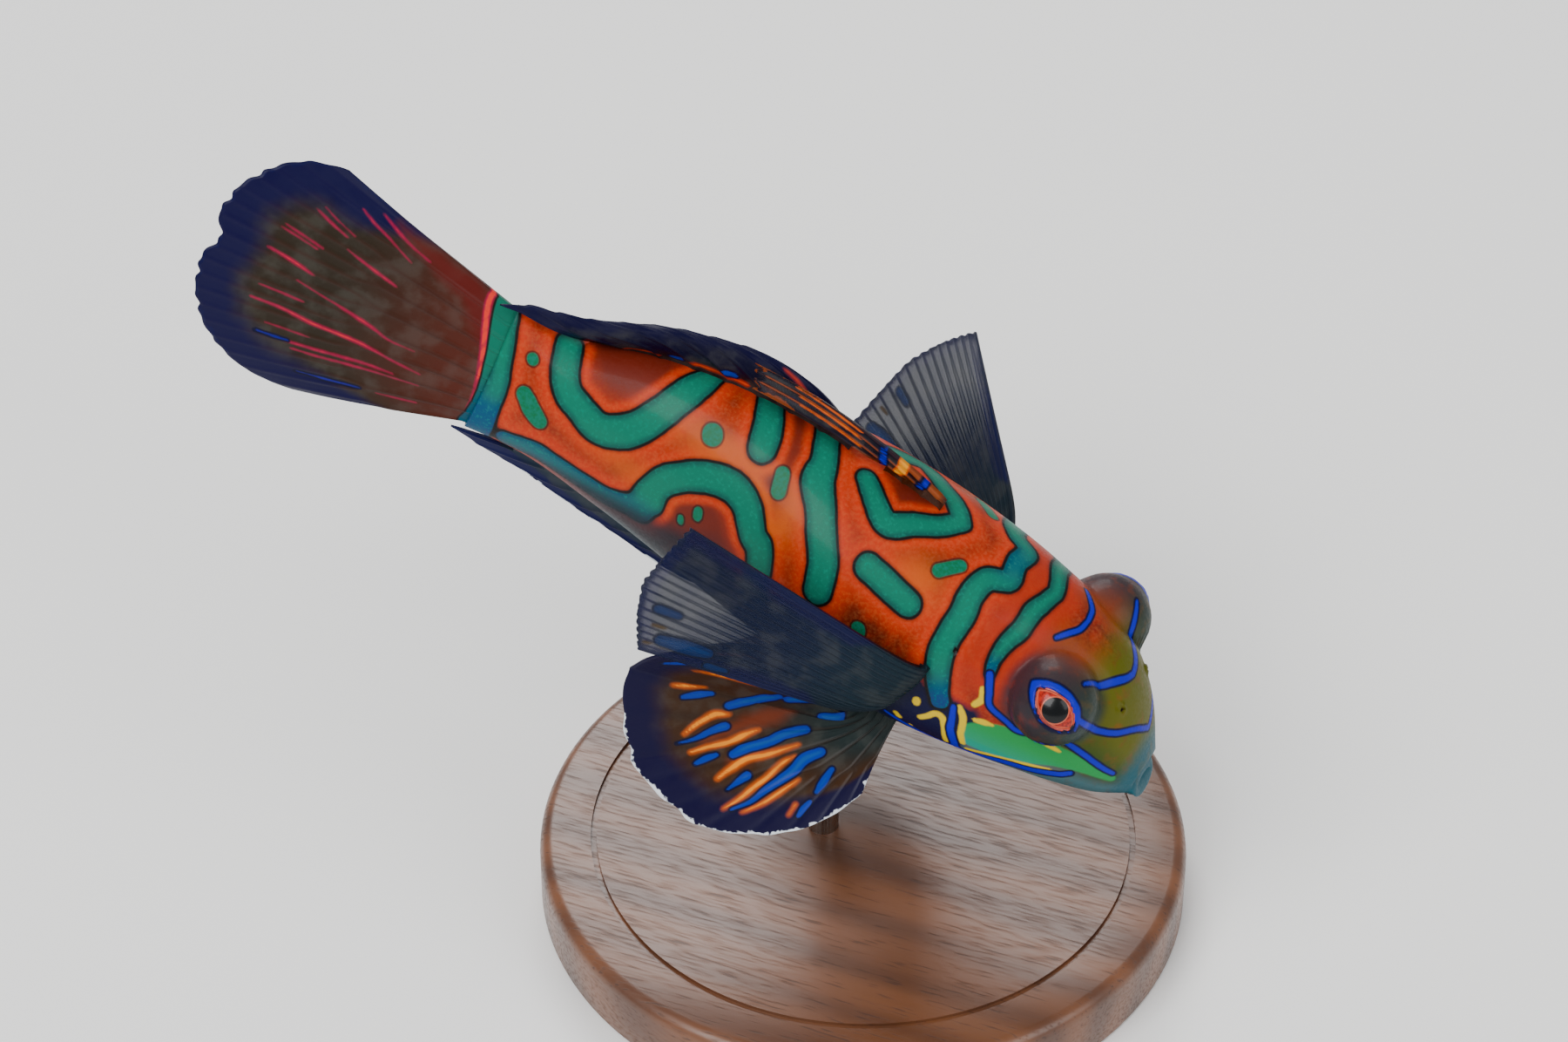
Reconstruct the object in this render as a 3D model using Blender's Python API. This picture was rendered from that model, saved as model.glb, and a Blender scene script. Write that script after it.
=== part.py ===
"""A life-size mandarinfish, swimming head down, on a small round display stand.

The fish is worked out straight first. A station is a distance from the mouth towards the tail, a side is a distance
to the fish's left and a height is a distance above its axis. An angle runs round the body from the middle of the
back, 0 degrees, to the middle of the belly, 180, and is positive on the fish's left. The axis that carries the
stations is then bent sideways, and the whole fish is pitched head down over the stand. The fish heads along +X.
"""

import math

import bmesh
import bpy
import numpy as np
from mathutils import Matrix, Vector

MM = 0.001
GAP = 0.3 * MM

# The fish as a whole
STANDARD_LENGTH = 43.5 * MM
PITCH_DOWN = math.radians(24)
HELD_STATION = 19.5 * MM
AXIS_HEIGHT = 24 * MM

# Turns of the axis: station in mm, heading in degrees, lean of the back in degrees, both positive to the left
AXIS_TURNS = ((-3, -3, 0), (8, -3, 0), (18, -1, 3), (26, 2, 8), (34, 9, 13), (44, 17, 18), (62, 17, 20))
AXIS_FROM = -3 * MM
AXIS_TO = 66 * MM
AXIS_STEP = 0.25 * MM

# Sections in mm: station, back, belly, half width, height of the widest place
BODY_PLAN = (
    (0.5, 0.2, -2.2, 1.5, -1.1),
    (2.0, 2.6, -2.7, 2.8, -0.9),
    (4.0, 4.8, -3.1, 3.9, -0.7),
    (7.0, 6.1, -3.7, 4.9, -0.7),
    (11.0, 6.7, -4.6, 5.8, -0.8),
    (16.0, 6.9, -5.5, 6.4, -0.7),
    (22.0, 6.9, -5.9, 6.1, -0.3),
    (28.5, 6.6, -5.6, 4.6, 0.1),
    (35.0, 5.6, -4.5, 3.1, 0.3),
    (40.0, 4.5, -3.4, 2.3, 0.4),
    (43.5, 4.9, -3.3, 1.0, 0.5),
)
SECTION_POWER = 2.25

# Cuts between the lengths of the body
SNOUT_STATION = 0.6 * MM
HEAD_CUT = 11.8 * MM
TAIL_CUT = 31.5 * MM
HEAD_SEGMENTS = 44
BODY_SEGMENTS = 36

# Eyes: a domed orbit in the head, with a round opening that shows the eyeball
EYE_STATION = 7.0 * MM
EYE_SIDE = 3.9 * MM
EYE_HEIGHT = 3.6 * MM
ORBIT_RADIUS = 2.5 * MM
ORBIT_BLEND = 0.9 * MM
EYEBALL_RADIUS = 1.55 * MM
EYE_PROUD = 0.15 * MM
GAZE_FORWARD = math.radians(8)
GAZE_UP = {"left": math.radians(20), "right": math.radians(35)}
LID_RADIUS = 1.62 * MM
LID_THICKNESS = 0.42 * MM

# Nostrils: a short tube on each side of the snout
NOSTRIL_STATION = 3.6 * MM
NOSTRIL_DEGREES = 27
NOSTRIL_RADIUS = 0.36 * MM
NOSTRIL_BORE = 0.19 * MM
NOSTRIL_HEIGHT = 0.3 * MM

# Mouth: two fleshy lips round a slit that points forward and down
LIP_TILT = math.radians(34)
LIP_THICKNESS = 0.55 * MM
LIP_HALF_WIDTH = 1.35 * MM
LIP_HALF_HEIGHT = 0.75 * MM
MOUTH_HALF_WIDTH = 0.85 * MM
MOUTH_HALF_HEIGHT = 0.16 * MM
MOUTH_DEPTH = 0.9 * MM

# Membranes
MEMBRANE = 0.5 * MM
RIDGE = 0.28 * MM
TIP_SHARE = 0.5

# Stand
BASE_RADIUS = 19 * MM
BASE_THICKNESS = 4 * MM
BASE_BEVEL = 0.8 * MM
ROD_RADIUS = 0.9 * MM
ROD_SEGMENTS = 20


def smooth_curve(rows, column):
    """A function of the station, in metres, through one column of a table in mm or degrees."""
    at = np.array([row[0] for row in rows], float)
    value = np.array([row[column] for row in rows], float)
    slope = np.gradient(value, at)

    def read(station):
        x = np.clip(np.asarray(station, float) / MM, at[0], at[-1])
        i = np.clip(np.searchsorted(at, x, side="right") - 1, 0, len(at) - 2)
        span = at[i + 1] - at[i]
        t = (x - at[i]) / span
        rise = (2 * t**3 - 3 * t**2 + 1) * value[i] + (3 * t**2 - 2 * t**3) * value[i + 1]
        return rise + span * ((t**3 - 2 * t**2 + t) * slope[i] + (t**3 - t**2) * slope[i + 1])

    return read


heading_at = smooth_curve(AXIS_TURNS, 1)
lean_at = smooth_curve(AXIS_TURNS, 2)
back_at = smooth_curve(BODY_PLAN, 1)
belly_at = smooth_curve(BODY_PLAN, 2)
half_width_at = smooth_curve(BODY_PLAN, 3)
widest_at = smooth_curve(BODY_PLAN, 4)
PITCH = Matrix.Rotation(PITCH_DOWN, 3, "Y")


def axis_table():
    """Stations along the bent axis, with the place of each on the level, before the fish is pitched."""
    stations = np.arange(AXIS_FROM, AXIS_TO, AXIS_STEP)
    heading = np.radians(heading_at(stations + AXIS_STEP / 2))
    steps = np.stack([np.cos(heading), np.sin(heading)], axis=1) * AXIS_STEP
    places = -np.concatenate([np.zeros((1, 2)), np.cumsum(steps, axis=0)])[:-1]
    held = [np.interp(HELD_STATION, stations, places[:, k]) for k in (0, 1)]
    return stations, places - held


AXIS_STATIONS, AXIS_PLACES = axis_table()


def axes_at(station):
    """The world directions forward, to the fish's left and up at a station."""
    heading, lean = math.radians(float(heading_at(station))), math.radians(float(lean_at(station)))
    forward = Vector((math.cos(heading), math.sin(heading), 0))
    left = Vector((-math.sin(heading), math.cos(heading), 0))
    up = Vector((0, 0, 1))
    leaned_left = left * math.cos(lean) - up * math.sin(lean)
    leaned_up = up * math.cos(lean) + left * math.sin(lean)
    return PITCH @ forward, PITCH @ leaned_left, PITCH @ leaned_up


def place(station, side, height):
    """The world point at a station, a side and a height, all in metres."""
    level = [float(np.interp(station, AXIS_STATIONS, AXIS_PLACES[:, k])) for k in (0, 1)]
    _, left, up = axes_at(station)
    return Vector((0, 0, AXIS_HEIGHT)) + PITCH @ Vector((*level, 0)) + left * side + up * height


def direction(station, back, side, up):
    """The world direction of a step back, to the left and up from a station."""
    ahead, left, above = axes_at(station)
    return (left * side + above * up - ahead * back).normalized()


def orbit_reach(station, side, height):
    """How far the orbit's dome reaches along a ray from the section's centre, or less where the ray misses it."""
    length = math.hypot(side, height)
    ray_side, ray_height = side / length, height / length
    centre_side = math.copysign(EYE_SIDE, side)
    slice_square = ORBIT_RADIUS**2 - (station - EYE_STATION) ** 2
    along = ray_side * centre_side + ray_height * EYE_HEIGHT
    under = along**2 - EYE_SIDE**2 - EYE_HEIGHT**2 + slice_square
    return along + math.copysign(math.sqrt(abs(under)), under)


def smooth_larger(first, second, blend):
    """The larger of two lengths, rounded off where they are nearly equal."""
    overlap = max(blend - abs(first - second), 0) / blend
    return max(first, second) + overlap**2 * blend / 4


def skin_point(station, degrees, proud=0.0):
    """The world point on the skin at a station and an angle, or that far proud of it."""
    angle = math.radians(degrees)
    half_width = float(half_width_at(station)) * MM
    widest = float(widest_at(station)) * MM
    limit = float(back_at(station) if math.cos(angle) > 0 else belly_at(station)) * MM
    power = 2 / SECTION_POWER
    side = math.copysign(abs(math.sin(angle)) ** power, math.sin(angle)) * half_width
    height = widest + abs(math.cos(angle)) ** power * (limit - widest)
    reach = math.hypot(side, height)
    grown = reach
    if abs(station - EYE_STATION) < ORBIT_RADIUS + ORBIT_BLEND and height > 0:
        grown = smooth_larger(reach, orbit_reach(station, side, height), ORBIT_BLEND)
    scale = (grown + proud) / reach
    return place(station, side * scale, height * scale)


def ring(station, segments):
    """The skin's points round one station."""
    return [skin_point(station, 360 * k / segments) for k in range(segments)]


def lip_ring(half_width, half_height, forward, segments):
    """A flat oval round the mouth's own axis, which is tilted down."""
    centre_height = float(widest_at(SNOUT_STATION)) * MM
    points = []
    for k in range(segments):
        angle = 2 * math.pi * k / segments
        up = half_height * math.cos(angle)
        ahead = forward * math.cos(LIP_TILT) - up * math.sin(LIP_TILT)
        height = centre_height - forward * math.sin(LIP_TILT) + up * math.cos(LIP_TILT)
        points.append(place(SNOUT_STATION - ahead, half_width * math.sin(angle), height))
    return points


def mouth_rings(segments):
    """Rings from the hollow of the mouth, out over the lips and back to the snout."""
    rings = [
        lip_ring(MOUTH_HALF_WIDTH * 0.8, MOUTH_HALF_HEIGHT, LIP_THICKNESS - MOUTH_DEPTH, segments),
        lip_ring(MOUTH_HALF_WIDTH, MOUTH_HALF_HEIGHT * 1.6, LIP_THICKNESS * 0.1, segments),
    ]
    for degrees in (-60, -15, 30, 75):
        turn = math.radians(degrees)
        swell = LIP_THICKNESS * 0.5 * (1 + math.sin(turn))
        rings.append(
            lip_ring(
                MOUTH_HALF_WIDTH + (LIP_HALF_WIDTH - MOUTH_HALF_WIDTH) * (1 + math.sin(turn)) / 2 + swell * 0.3,
                MOUTH_HALF_HEIGHT + (LIP_HALF_HEIGHT - MOUTH_HALF_HEIGHT) * (1 + math.sin(turn)) / 2 + swell * 0.3,
                LIP_THICKNESS * (0.35 + 0.65 * math.cos(turn)),
                segments,
            )
        )
    rings.append(lip_ring(LIP_HALF_WIDTH * 0.98, LIP_HALF_HEIGHT * 0.98, 0, segments))
    return rings


def new_object(name, mesh, material):
    """Puts a mesh in the scene as a named object with its material."""
    for polygon in mesh.polygons:
        polygon.use_smooth = True
    obj = bpy.data.objects.new(name, mesh)
    obj.data.materials.append(material)
    bpy.context.scene.collection.objects.link(obj)
    return obj


def lofted(name, rings, material):
    """A closed body through rings of points, with a flat face on each end."""
    mesh = bpy.data.meshes.new(name)
    shape = bmesh.new()
    corners = [[shape.verts.new(point) for point in points] for points in rings]
    for first, second in zip(corners, corners[1:]):
        for k in range(len(first)):
            following = (k + 1) % len(first)
            shape.faces.new((first[k], first[following], second[following], second[k]))
    shape.faces.new(corners[0][::-1])
    shape.faces.new(corners[-1])
    bmesh.ops.recalc_face_normals(shape, faces=shape.faces)
    shape.to_mesh(mesh)
    shape.free()
    return new_object(name, mesh, material)


def stations_between(first, last, count, crowding=1.0):
    """Stations from first to last, closer together near the first where crowding is over 1."""
    return [first + (last - first) * (k / (count - 1)) ** crowding for k in range(count)]


def membrane_columns(rays, share):
    """The place across the fin, the weight of the main ridge and that of the branches, of each column."""
    opening = 0.15 + 0.13 * share
    columns = []
    for ray in range(rays):
        for step in (-1, 0, 1):
            across = (ray + step * opening) / (rays - 1)
            if 0 <= across <= 1:
                columns.append((across, 1.0 - abs(step), float(abs(step))))
    return columns


def membrane(name, rays, rows, surface, material, branch_at=2.0, notch=0.03, swell=0.0, crowding=1.0):
    """A fin: a thin closed sheet with its rays raised on both faces.

    surface(across, along) is a world point, with across and along from 0 to 1. Rays split in two past branch_at.
    swell is how much thicker the fin is at its root, where rows lie closer together with crowding over 1. Both
    faces are split into triangles the same way.
    """
    middle, half = [], []
    for row in range(rows + 1):
        along = (row / rows) ** crowding
        branched = min(1.0, max(0.0, (along - branch_at) / 0.15))
        points, halves = [], []
        for across, main, branch in membrane_columns(rays, along):
            ridge = main * (1 - branched) + branch * branched
            reach = along * (1 - notch * (1 - ridge))
            points.append(surface(across, reach))
            thick = MEMBRANE * (1 - (1 - TIP_SHARE) * along**3) + RIDGE * ridge * (1 - 0.7 * along)
            halves.append((thick + swell * (1 - along) ** 4) / 2)
        middle.append(points)
        half.append(halves)
    middle, half = np.array(middle, float), np.array(half, float)
    normal = np.cross(np.gradient(middle, axis=1), np.gradient(middle, axis=0))
    normal /= np.linalg.norm(normal, axis=2, keepdims=True)
    front, back = middle + normal * half[..., None], middle - normal * half[..., None]
    return sheet_body(name, front, back, material)


def sheet_body(name, front, back, material):
    """A closed body between two grids of points, both split into triangles the same way."""
    mesh = bpy.data.meshes.new(name)
    shape = bmesh.new()
    ahead = [[shape.verts.new(point) for point in line] for line in front]
    behind = [[shape.verts.new(point) for point in line] for line in back]
    rows, columns = len(ahead), len(ahead[0])
    for i in range(rows - 1):
        for k in range(columns - 1):
            for grid, order in ((ahead, 1), (behind, -1)):
                a, b, c, d = grid[i][k], grid[i][k + 1], grid[i + 1][k + 1], grid[i + 1][k]
                shape.faces.new((a, b, c)[::order])
                shape.faces.new((a, c, d)[::order])
    rim = [(0, k) for k in range(columns)] + [(i, columns - 1) for i in range(1, rows)]
    rim += [(rows - 1, k) for k in range(columns - 2, -1, -1)] + [(i, 0) for i in range(rows - 2, 0, -1)]
    for (i, k), (m, n) in zip(rim, rim[1:] + rim[:1]):
        shape.faces.new((ahead[i][k], behind[i][k], ahead[m][n]))
        shape.faces.new((behind[i][k], behind[m][n], ahead[m][n]))
    bmesh.ops.recalc_face_normals(shape, faces=shape.faces)
    if shape.calc_volume(signed=True) < 0:
        bmesh.ops.reverse_faces(shape, faces=shape.faces)
    shape.to_mesh(mesh)
    shape.free()
    return new_object(name, mesh, material)


def blend(first, last, share):
    """A value between two others."""
    return first + (last - first) * share


def folded_fin(name, base, reach, rise, lean, fold, rays, down, material):
    """A middle fin folded back along the body.

    base, reach, lean and fold are the first and last ray's station, length along the body, lean to the fish's left
    and turn round the body at the tip, with lean and fold in degrees. rise is how high the tips of the first and
    last rays stand, and how much higher those between them do. down is true for the fin under the belly.
    """

    def surface(across, along):
        station = blend(base[0], base[1], across) + blend(reach[0], reach[1], across) * along
        turn = blend(fold[0], fold[1], across**2) * (1 - (1 - along) ** 2)
        root = skin_point(station, (180 if down else 0) + turn, GAP + 0.2 * MM)
        height = blend(rise[0], rise[1], across) + rise[2] * math.sin(math.pi * across**1.6)
        tilt = math.radians(blend(lean[0], lean[1], across))
        upward = direction(station, 0, math.sin(tilt), math.cos(tilt) * (-1 if down else 1))
        return root + upward * height * (1 - (1 - along) ** 3)

    return membrane(name, rays, 4, surface, material, notch=0.05)


def tail_fin(material):
    """The rounded tail fin, opened into a fan and rolled so that its right face looks up."""
    length, opening = 17.0 * MM, math.radians(15.5)
    root_half, root_height, curl = 3.85 * MM, 0.85 * MM, 1.2 * MM

    def surface(across, along):
        spread = 2 * across - 1
        upper = max(spread, 0) ** 2
        dip = 0.04 * math.exp(-(((spread - 0.12) / 0.11) ** 2))
        ray = length * (1 - 0.33 * abs(spread) ** 2.6 + 0.05 * spread + 0.03 * upper - dip) * along
        angle = opening * spread + math.radians(3.5 + upper)
        rise = root_height + root_half * spread + ray * math.sin(angle)
        station = STANDARD_LENGTH + GAP + ray * math.cos(angle)
        return place(station, curl * (spread**2 - 0.4) * along**2, rise)

    return membrane("caudal_fin", 10, 10, surface, material, branch_at=0.42, notch=0.045, swell=0.9 * MM)


def outward_at(station, degrees):
    """The world direction straight out of the section at a station and an angle."""
    return (skin_point(station, degrees, MM) - skin_point(station, degrees)).normalized()


def paired_fin(name, left, root, aims, reach, rays, rows, shape, material, branch_at=2.0, notch=0.03):
    """A fan fin on one side, on a fleshy base.

    root is a pair of places on the skin, each a station and an angle from the back. aims is a list of directions
    (back, outward, up), evenly spaced across the fan, and reach a list of ray lengths spaced the same way. shape
    is the thickening of the base, how far the rays leave it outward before they turn back, and their bow.
    """
    hand = 1 if left else -1
    swell, lift, bow = shape
    spots, marks = np.linspace(0, 1, len(aims)), np.linspace(0, 1, len(reach))

    def surface(across, along):
        station = blend(root[0][0], root[1][0], across)
        degrees = hand * blend(root[0][1], root[1][1], across)
        outward = outward_at(station, degrees)
        aim = [float(np.interp(across, spots, [vector[k] for vector in aims])) for k in range(3)]
        ray = float(np.interp(across, marks, reach)) * along
        heading = direction(station, aim[0], hand * aim[1], aim[2])
        bowed = bow * along**2 * (1 - 0.5 * (2 * across - 1) ** 2)
        foot = skin_point(station, degrees, GAP + 0.35 * MM) + outward * lift * (1 - math.exp(-ray / lift))
        return foot + heading * ray + direction(station, 0, hand * 0.6, 0.8) * bowed

    return membrane(name, rays, rows, surface, material, branch_at, notch, swell, 1.35)


def eye_centre(left):
    """The place of the orbit's middle: station, side and height."""
    return EYE_STATION, EYE_SIDE if left else -EYE_SIDE, EYE_HEIGHT


def gaze(left):
    """The way that an eye looks, as a world direction. Each eye looks its own way."""
    outward, up = (1, GAZE_UP["left"]) if left else (-1, GAZE_UP["right"])
    return direction(
        EYE_STATION,
        -math.sin(GAZE_FORWARD) * math.cos(up),
        outward * math.cos(GAZE_FORWARD) * math.cos(up),
        math.sin(up),
    )


def eyeball_place(left):
    """The eyeball's middle, set so that its front stands a little proud of the orbit."""
    return place(*eye_centre(left)) + gaze(left) * (ORBIT_RADIUS + EYE_PROUD - EYEBALL_RADIUS)


def ball(name, centre, radius, axis, material=None):
    """A sphere with its pole along an axis. Without a material it is a cutter."""
    mesh = bpy.data.meshes.new(name)
    shape = bmesh.new()
    bmesh.ops.create_uvsphere(shape, u_segments=20, v_segments=12, radius=radius)
    turn = axis.to_track_quat("Z", "Y").to_matrix().to_4x4()
    bmesh.ops.transform(shape, matrix=Matrix.Translation(centre) @ turn, verts=shape.verts)
    shape.to_mesh(mesh)
    shape.free()
    if material:
        return new_object(name, mesh, material)
    cutter = bpy.data.objects.new(name, mesh)
    bpy.context.scene.collection.objects.link(cutter)
    cutter.hide_render = True
    cutter.display_type = "WIRE"
    return cutter


def guide(name, shape, place_at, axis):
    """A hidden solid with its Z axis along a direction, for joining to the head or cutting it."""
    turn = axis.to_track_quat("Z", "Y").to_matrix().to_4x4()
    bmesh.ops.transform(shape, matrix=Matrix.Translation(place_at) @ turn, verts=shape.verts)
    mesh = bpy.data.meshes.new(name)
    shape.to_mesh(mesh)
    shape.free()
    obj = bpy.data.objects.new(name, mesh)
    bpy.context.scene.collection.objects.link(obj)
    obj.hide_render = True
    obj.display_type = "WIRE"
    return obj


def lid_ring(name, left):
    """The lid: a fleshy ring round the eye's opening, sunk into the orbit."""
    shape = bmesh.new()
    around, across = 28, 8
    rows = []
    for i in range(around):
        turn = 2 * math.pi * i / around
        row = []
        for k in range(across):
            tilt = 2 * math.pi * k / across
            reach = LID_RADIUS + 0.5 * LID_THICKNESS * math.cos(tilt)
            height = 0.5 * LID_THICKNESS * math.sin(tilt)
            row.append(shape.verts.new((reach * math.cos(turn), reach * math.sin(turn), height)))
        rows.append(row)
    for i in range(around):
        for k in range(across):
            here, there = rows[i], rows[(i + 1) % around]
            shape.faces.new((here[k], there[k], there[(k + 1) % across], here[(k + 1) % across]))
    bmesh.ops.recalc_face_normals(shape, faces=shape.faces)
    rise = math.sqrt(ORBIT_RADIUS**2 - LID_RADIUS**2)
    return guide(name, shape, place(*eye_centre(left)) + gaze(left) * rise, gaze(left))


def nostril_tube(name, left, radius, first, last):
    """An upright tube's body or bore on the snout, between two heights over the skin."""
    degrees = NOSTRIL_DEGREES if left else -NOSTRIL_DEGREES
    outward = outward_at(NOSTRIL_STATION, degrees)
    shape = bmesh.new()
    bmesh.ops.create_cone(shape, cap_ends=True, segments=12, radius1=radius, radius2=radius * 0.85, depth=last - first)
    centre = skin_point(NOSTRIL_STATION, degrees) + outward * (first + last) / 2
    return guide(name, shape, centre, outward)


def head(material):
    """The head, with its lips and mouth, nostrils, and a lidded socket in each orbit."""
    rings = mouth_rings(HEAD_SEGMENTS)
    rings += [ring(s, HEAD_SEGMENTS) for s in stations_between(SNOUT_STATION, HEAD_CUT - GAP / 2, 19, 1.25)]
    obj = lofted("head", rings, material)
    steps = []
    for left in (True, False):
        word = "left" if left else "right"
        tube = nostril_tube(f"nostril_tube_{word}", left, NOSTRIL_RADIUS, -0.4 * MM, NOSTRIL_HEIGHT)
        bore = nostril_tube(f"nostril_bore_{word}", left, NOSTRIL_BORE, -0.3 * MM, NOSTRIL_HEIGHT + 0.2 * MM)
        socket = ball(f"socket_{word}", eyeball_place(left), EYEBALL_RADIUS + GAP, gaze(left))
        steps += [("UNION", lid_ring(f"lid_{word}", left)), ("UNION", tube), ("DIFFERENCE", bore)]
        steps.append(("DIFFERENCE", socket))
    for operation, tool in steps:
        modifier = obj.modifiers.new(tool.name, "BOOLEAN")
        modifier.operation = operation
        modifier.object = tool
    return obj


def stand_base(material):
    """A round, flat base with a bevelled rim, standing on the floor."""
    mesh = bpy.data.meshes.new("stand_base")
    shape = bmesh.new()
    bmesh.ops.create_cone(
        shape, cap_ends=True, segments=64, radius1=BASE_RADIUS, radius2=BASE_RADIUS, depth=BASE_THICKNESS
    )
    bmesh.ops.translate(shape, vec=(0, 0, BASE_THICKNESS / 2), verts=shape.verts)
    rim = [edge for edge in shape.edges if all(v.co.z > BASE_THICKNESS / 2 for v in edge.verts)]
    bmesh.ops.bevel(shape, geom=rim, offset=BASE_BEVEL, segments=3, profile=0.5, affect="EDGES")
    shape.to_mesh(mesh)
    shape.free()
    return new_object("stand_base", mesh, material)


def stand_rod(material):
    """An upright rod from the base to the belly, its top cut to the belly's slope."""
    belly = skin_point(HELD_STATION, 180, GAP)
    slope = skin_point(HELD_STATION - MM, 180, GAP) - skin_point(HELD_STATION + MM, 180, GAP)
    rise = slope.z / slope.x
    mesh = bpy.data.meshes.new("stand_rod")
    shape = bmesh.new()
    bmesh.ops.create_cone(
        shape, cap_ends=True, segments=ROD_SEGMENTS, radius1=ROD_RADIUS, radius2=ROD_RADIUS, depth=2
    )
    for corner in shape.verts:
        top = corner.co.z > 0
        corner.co.z = belly.z + rise * corner.co.x if top else BASE_THICKNESS + GAP
        corner.co.x += belly.x
        corner.co.y += belly.y
    shape.to_mesh(mesh)
    shape.free()
    return new_object("stand_rod", mesh, material)


def finish(name, colour, roughness, metallic=0.0):
    """A plain material with a colour, a roughness and a metallic value."""
    material = bpy.data.materials.new(name)
    material.use_nodes = True
    shader = material.node_tree.nodes["Principled BSDF"]
    shader.inputs["Base Color"].default_value = (*colour, 1.0)
    shader.inputs["Roughness"].default_value = roughness
    shader.inputs["Metallic"].default_value = metallic
    return material


def main():
    """Clears the scene and builds the fish and its stand."""
    for obj in list(bpy.data.objects):
        bpy.data.objects.remove(obj)
    skin = finish("skin", (0.75, 0.16, 0.03), 0.4)
    fin_dark = finish("fin_dark", (0.05, 0.05, 0.16), 0.45)
    fin_clear = finish("fin_clear", (0.10, 0.14, 0.22), 0.45)
    eye = finish("eye", (0.55, 0.10, 0.05), 0.1)
    wood = finish("stand_wood", (0.24, 0.12, 0.06), 0.45)
    steel = finish("stand_steel", (0.62, 0.62, 0.60), 0.3, 1.0)

    head(skin)
    body_rings = stations_between(HEAD_CUT + GAP / 2, TAIL_CUT - GAP / 2, 14)
    lofted("torso", [ring(s, BODY_SEGMENTS) for s in body_rings], skin)
    stem_rings = stations_between(TAIL_CUT + GAP / 2, STANDARD_LENGTH, 10)
    lofted("tail_stem", [ring(s, BODY_SEGMENTS) for s in stem_rings], skin)
    for left in (True, False):
        word = "left" if left else "right"
        ball(f"eye_{word}", eyeball_place(left), EYEBALL_RADIUS, gaze(left), eye)

    tail_fin(fin_dark)
    folded_fin(
        "dorsal_fin_first", (18 * MM, 21.8 * MM), (12.8 * MM, 8.5 * MM), (1.8 * MM, 0.8 * MM, 0), (5, -5), (-9, -15),
        4, False, fin_dark,
    )
    folded_fin(
        "dorsal_fin_second", (24 * MM, 37.6 * MM), (7.6 * MM, 5.8 * MM), (1.8 * MM, 0.6 * MM, 0.5 * MM), (16, -24),
        (0, -38), 9, False, fin_dark,
    )
    folded_fin(
        "anal_fin", (25.5 * MM, 37.2 * MM), (6.0 * MM, 7.6 * MM), (1.2 * MM, 0.9 * MM, 0.4 * MM), (20, 20), (0, 0),
        8, True, fin_dark,
    )
    fan_shape = (0.6 * MM, 0.8 * MM, 0.6 * MM)
    pectoral_root = ((13.9 * MM, 70), (15.4 * MM, 100))
    paired_fin(
        "pectoral_fin_right", False, pectoral_root,
        ((0.95, 0.26, 0.22), (0.93, 0.33, 0.13), (0.89, 0.44, 0.05)),
        (15.6 * MM, 15.6 * MM, 13.6 * MM), 18, 8, fan_shape, fin_clear,
    )
    paired_fin(
        "pectoral_fin_left", True, pectoral_root,
        ((0.61, 0.78, 0.08), (0.66, 0.73, -0.14), (0.70, 0.60, -0.38)),
        (13.2 * MM, 14.6 * MM, 14.0 * MM), 18, 8, fan_shape, fin_clear,
    )
    pelvic_root = ((13.6 * MM, 150), (16.2 * MM, 138))
    pelvic_aims = ((-0.20, 0.62, -0.74), (0.12, 0.63, -0.77), (0.46, 0.56, -0.68), (0.74, 0.44, -0.50),
                   (0.90, 0.35, -0.10), (0.62, 0.45, 0.64))
    for left in (True, False):
        word = "left" if left else "right"
        paired_fin(
            f"pelvic_fin_{word}", left, pelvic_root, pelvic_aims,
            (3.6 * MM, 7.5 * MM, 11.2 * MM, 13.0 * MM, 13.0 * MM, 8.6 * MM), 7, 10, fan_shape, fin_dark,
            branch_at=0.35, notch=0.05,
        )
    stand_base(wood)
    stand_rod(steel)


main()
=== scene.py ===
"""A life-size mandarinfish swimming head down on a small display stand, and the studio that shows it.

The fish is worked out straight first, in stations (metres from the mouth), sides (to the fish's left) and
heights above its axis. Angles run round the body from the middle of the back, 0 degrees, and are positive on
the left.
"""

import logging
import math
from dataclasses import dataclass, field
from enum import Enum
from typing import Callable, Sequence, Union

import bmesh
import bpy
import numpy as np
from mathutils import Matrix, Vector


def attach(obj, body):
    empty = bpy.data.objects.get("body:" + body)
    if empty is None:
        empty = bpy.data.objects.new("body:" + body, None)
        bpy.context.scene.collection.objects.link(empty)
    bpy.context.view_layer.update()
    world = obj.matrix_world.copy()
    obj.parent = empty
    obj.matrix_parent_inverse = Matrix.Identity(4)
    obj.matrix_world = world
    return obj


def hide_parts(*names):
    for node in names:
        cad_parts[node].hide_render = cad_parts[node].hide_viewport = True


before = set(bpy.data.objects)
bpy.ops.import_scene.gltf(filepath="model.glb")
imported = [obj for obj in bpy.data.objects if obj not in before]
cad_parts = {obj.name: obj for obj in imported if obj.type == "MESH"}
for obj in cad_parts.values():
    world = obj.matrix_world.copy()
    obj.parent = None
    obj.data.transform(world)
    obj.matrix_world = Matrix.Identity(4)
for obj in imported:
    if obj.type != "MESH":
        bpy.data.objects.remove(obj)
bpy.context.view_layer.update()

log = logging.getLogger("mandarinfish")

MM = 0.001

# The clearance between the solids of the body and of its fins.
GAP = 0.3 * MM

# How close two points lie that are made one.
MERGE = 0.002 * MM

# Distances to markings in mm are worked out up to FAR, for BATCH places at a time.
FAR = 4.0
BATCH = 6000

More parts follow.
